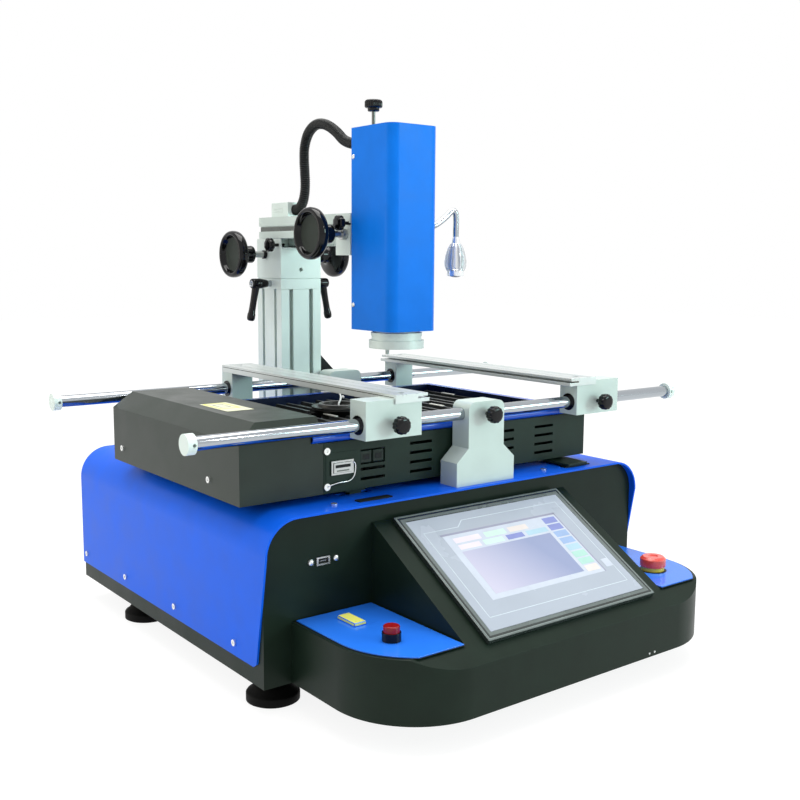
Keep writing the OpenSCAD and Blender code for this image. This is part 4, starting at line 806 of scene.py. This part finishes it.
# a dark line along the left bar's outer side stands for the shade in its groove: painted shade
lo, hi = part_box("bar_left")
x0, z1 = lo[0] * 1000 - OX, hi[2] * 1000 - OZ
bm = bmesh.new()
box(bm, x0 - 0.06, lo[1] * 1000 - OY + 3, z1 - 3.0, x0 + 0.3, hi[1] * 1000 - OY - 3, z1 - 2.2, 0)
link("bar_groove_shade_line", bm, STEM_AND_GROOVE_SHADE, "clamp_left")

# dark strips in the arm's side grooves stand for the shade in them: painted shade. Also the blank of the box
# on the arm
lo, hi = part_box("arm_beam")
y0, y1 = lo[1] * 1000 - OY + 0.5, hi[1] * 1000 - OY - 0.5
bm = bmesh.new()
box(bm, -13.62, y0, 426.4, -13.0, y1, 432.0, 0)
box(bm, 41.0, y0, 426.4, 41.62, y1, 432.0, 0)
link("arm_groove_shade_strips", bm, STEM_AND_GROOVE_SHADE, "arm")
bm = bmesh.new()
box(bm, -9.97, 364.1, 450.4, -8.2, 385.9, 454.2, 0)
link("box_blank", bm, SILVER, "arm")

LENS_DOME = [(6.4, 8.8), (9.6, 8.8), (10, 8.2), (9.9, 6.2), (9.2, 4.2), (7.8, 2.4), (5.6, 1.0), (3.0, 0.25),
             (0.6, 0.02)]
bm = bmesh.new()
turn(bm, LENS_DOME, LAMP_AT, UPWARD, segs=24)
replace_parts(link("lamp_lens_dome", bm, LENS, "light"), "lamp_lens")

bm = bmesh.new()
LEAD = [(19, 321, 223.2), (19, 312, 223.6), (15, 296, 226.4), (5, 262, 229.2), (-10, 235, 229.2),
        (-21, 219.5, 227.6), (-27, 213.6, 225), (-28.6, 212.2, 221.5)]
tube(bm, catmull([P(*q) for q in LEAD], 6), 0.0011, sides=14)
turn(bm, [(0.6, 0), (1.8, 0.4), (2.4, 1.5), (2.3, 2.6), (1.4, 3.6), (0.5, 3.9)], (40, 304, 215), UPWARD,
     segs=24)
link("sensor_lead", bm, WHITE, "preheater", smooth=60)

bm = bmesh.new()
for x, y0, y1 in [(96.2, 172, 198), (-56.6, 177, 203), (1.6, 256, 283), (154.5, 176, 204), (176.2, 247, 271),
                  (-136.3, 90, 112), (38.1, 112, 134)]:
    box(bm, x, y0, 215.02, x + 3.8, y1, 216.4, 0, edge=0.5)
link("ceramic_strips", bm, IVORY, "preheater")

# black strips inside the cover's slots stand for the shade beneath them: painted shade
bm = bmesh.new()
box(bm, -139.8, 12.2, 159.4, -100.2, 20.8, 161.2, 0)
box(bm, 144.2, 12.2, 159.4, 183.8, 20.8, 161.2, 0)
link("slot_shade_strip", bm, BLACK_MATTE, "base")
# a black ring on the rolled lip's open end stands for the shade inside the tube: painted shade
bm = bmesh.new()
turn(bm, [(0.5, -0.3), (3.3, -0.3), (3.3, 0.05), (0.5, 0.05)], (-179.02, 37.6, 222), LEFTWARD, segs=28)
link("lip_hollow_shade", bm, BLACK_MATTE, "preheater")


def deck_border(grow, z0, z1):
    """A dark seal line round each deck plate, made from the plate's own outline."""
    bm = bmesh.new()
    bm.from_mesh(frame["nodes"]["deck_panels"].data)
    for side in (-1, 1):
        vs = [v for v in bm.verts if (v.co.x - P(6, 0, 0).x) * side > 0]
        x0, x1 = min(v.co.x for v in vs), max(v.co.x for v in vs)
        y0, y1 = min(v.co.y for v in vs), max(v.co.y for v in vs)
        mid_z = (min(v.co.z for v in vs) + max(v.co.z for v in vs)) / 2
        for v in vs:
            v.co.x = (x0 + x1) / 2 + (v.co.x - (x0 + x1) / 2) * (1 + 2 * grow / (x1 - x0))
            v.co.y = (y0 + y1) / 2 + (v.co.y - (y0 + y1) / 2) * (1 + 2 * grow / (y1 - y0))
            v.co.z = P(0, 0, z0 if v.co.z < mid_z else z1).z
    return bm


link("deck_seal", deck_border(0.0010, 59.02, 59.4), BLACK_MATTE, "base")

# ---------------------------------------------------------------- stage and light
def background_rays(nt, lp):
    """1 for the rays that see the background: camera, glossy and transmission rays."""
    first, last = nt.nodes.new("ShaderNodeMath"), nt.nodes.new("ShaderNodeMath")
    first.operation = last.operation = "MAXIMUM"
    nt.links.new(lp.outputs["Is Camera Ray"], first.inputs[0])
    nt.links.new(lp.outputs["Is Transmission Ray"], first.inputs[1])
    nt.links.new(first.outputs[0], last.inputs[0])
    nt.links.new(lp.outputs["Is Glossy Ray"], last.inputs[1])
    return last


bm = bmesh.new()
bmesh.ops.create_grid(bm, x_segments=1, y_segments=1, size=6)
me = bpy.data.meshes.new("floor")
bm.to_mesh(me)
bm.free()
floor = bpy.data.objects.new("floor", me)
bpy.context.collection.objects.link(floor)
fm = bpy.data.materials.new("floor")
fm.use_nodes = True
nt = fm.node_tree
nt.nodes.clear()
out = nt.nodes.new("ShaderNodeOutputMaterial")
dif = nt.nodes.new("ShaderNodeBsdfDiffuse")
dif.inputs[0].default_value = (0.86, 0.87, 0.87, 1)
dif2 = nt.nodes.new("ShaderNodeBsdfDiffuse")
dif2.inputs[0].default_value = (0.22, 0.22, 0.22, 1)
emi = nt.nodes.new("ShaderNodeEmission")
emi.inputs[0].default_value = (1, 1, 1, 1)
emi.inputs[1].default_value = 0.88
add = nt.nodes.new("ShaderNodeAddShader")
mixs = nt.nodes.new("ShaderNodeMixShader")
lp = nt.nodes.new("ShaderNodeLightPath")
mx = background_rays(nt, lp)
nt.links.new(dif2.outputs[0], add.inputs[0])
nt.links.new(emi.outputs[0], add.inputs[1])
nt.links.new(mx.outputs[0], mixs.inputs[0])
nt.links.new(dif.outputs[0], mixs.inputs[1])
nt.links.new(add.outputs[0], mixs.inputs[2])
nt.links.new(mixs.outputs[0], out.inputs[0])
floor.data.materials.append(fm)

world = bpy.data.worlds.new("world")
bpy.context.scene.world = world
world.use_nodes = True
nt = world.node_tree
nt.nodes.clear()
out = nt.nodes.new("ShaderNodeOutputWorld")
lit = nt.nodes.new("ShaderNodeBackground")
lit.inputs[1].default_value = 0.75
seen = nt.nodes.new("ShaderNodeBackground")
seen.inputs[0].default_value = (1, 1, 1, 1)
seen.inputs[1].default_value = 1.0
lp = nt.nodes.new("ShaderNodeLightPath")
mixw = nt.nodes.new("ShaderNodeMixShader")
mx = background_rays(nt, lp)
tcw = nt.nodes.new("ShaderNodeTexCoord")
sep = nt.nodes.new("ShaderNodeSeparateXYZ")
nt.links.new(tcw.outputs["Generated"], sep.inputs[0])
rw = nt.nodes.new("ShaderNodeValToRGB")
rw.color_ramp.elements[0].position = 0.44
rw.color_ramp.elements[0].color = (0.72, 0.73, 0.74, 1)
rw.color_ramp.elements[1].position = 0.95
rw.color_ramp.elements[1].color = (1, 1, 1, 1)
mid = rw.color_ramp.elements.new(0.58)
mid.color = (0.55, 0.57, 0.58, 1)
mid2 = rw.color_ramp.elements.new(0.70)
mid2.color = (0.96, 0.97, 0.98, 1)
mr = nt.nodes.new("ShaderNodeMapRange")
mr.inputs["From Min"].default_value = -1
mr.inputs["From Max"].default_value = 1
nt.links.new(sep.outputs["Z"], mr.inputs["Value"])
nt.links.new(mr.outputs[0], rw.inputs[0])
nt.links.new(rw.outputs[0], lit.inputs[0])
nt.links.new(mx.outputs[0], mixw.inputs[0])
nt.links.new(lit.outputs[0], mixw.inputs[1])
nt.links.new(seen.outputs[0], mixw.inputs[2])
nt.links.new(mixw.outputs[0], out.inputs[0])


def area(name, loc, target, size, power, color=(1, 1, 1)):
    """An area light at loc that faces target, both in metres."""
    ld = bpy.data.lights.new(name, "AREA")
    ld.shape = "RECTANGLE"
    ld.size, ld.size_y = size
    ld.energy = power
    ld.color = color
    lo = bpy.data.objects.new(name, ld)
    bpy.context.collection.objects.link(lo)
    lo.location = loc
    lo.rotation_euler = (Vector(target) - Vector(loc)).to_track_quat("-Z", "Y").to_euler()


area("key", (3.0, -3.8, 1.25), (0, 0, 0.25), (1.5, 1.1), 72, (0.66, 1.0, 0.96))
area("window", (1.1, -2.3, 1.7), (0, 0.1, 0.35), (0.12, 0.20), 4.2)
area("top", (0.1, 0.2, 2.2), (0, 0, 0.1), (1.6, 1.6), 43, (1.0, 0.99, 0.96))
area("side", (-2.0, 1.1, 0.8), (0, 0, 0.2), (1.4, 1.4), 9, (1.0, 0.94, 0.76))

bpy.context.scene.view_settings.view_transform = "Standard"
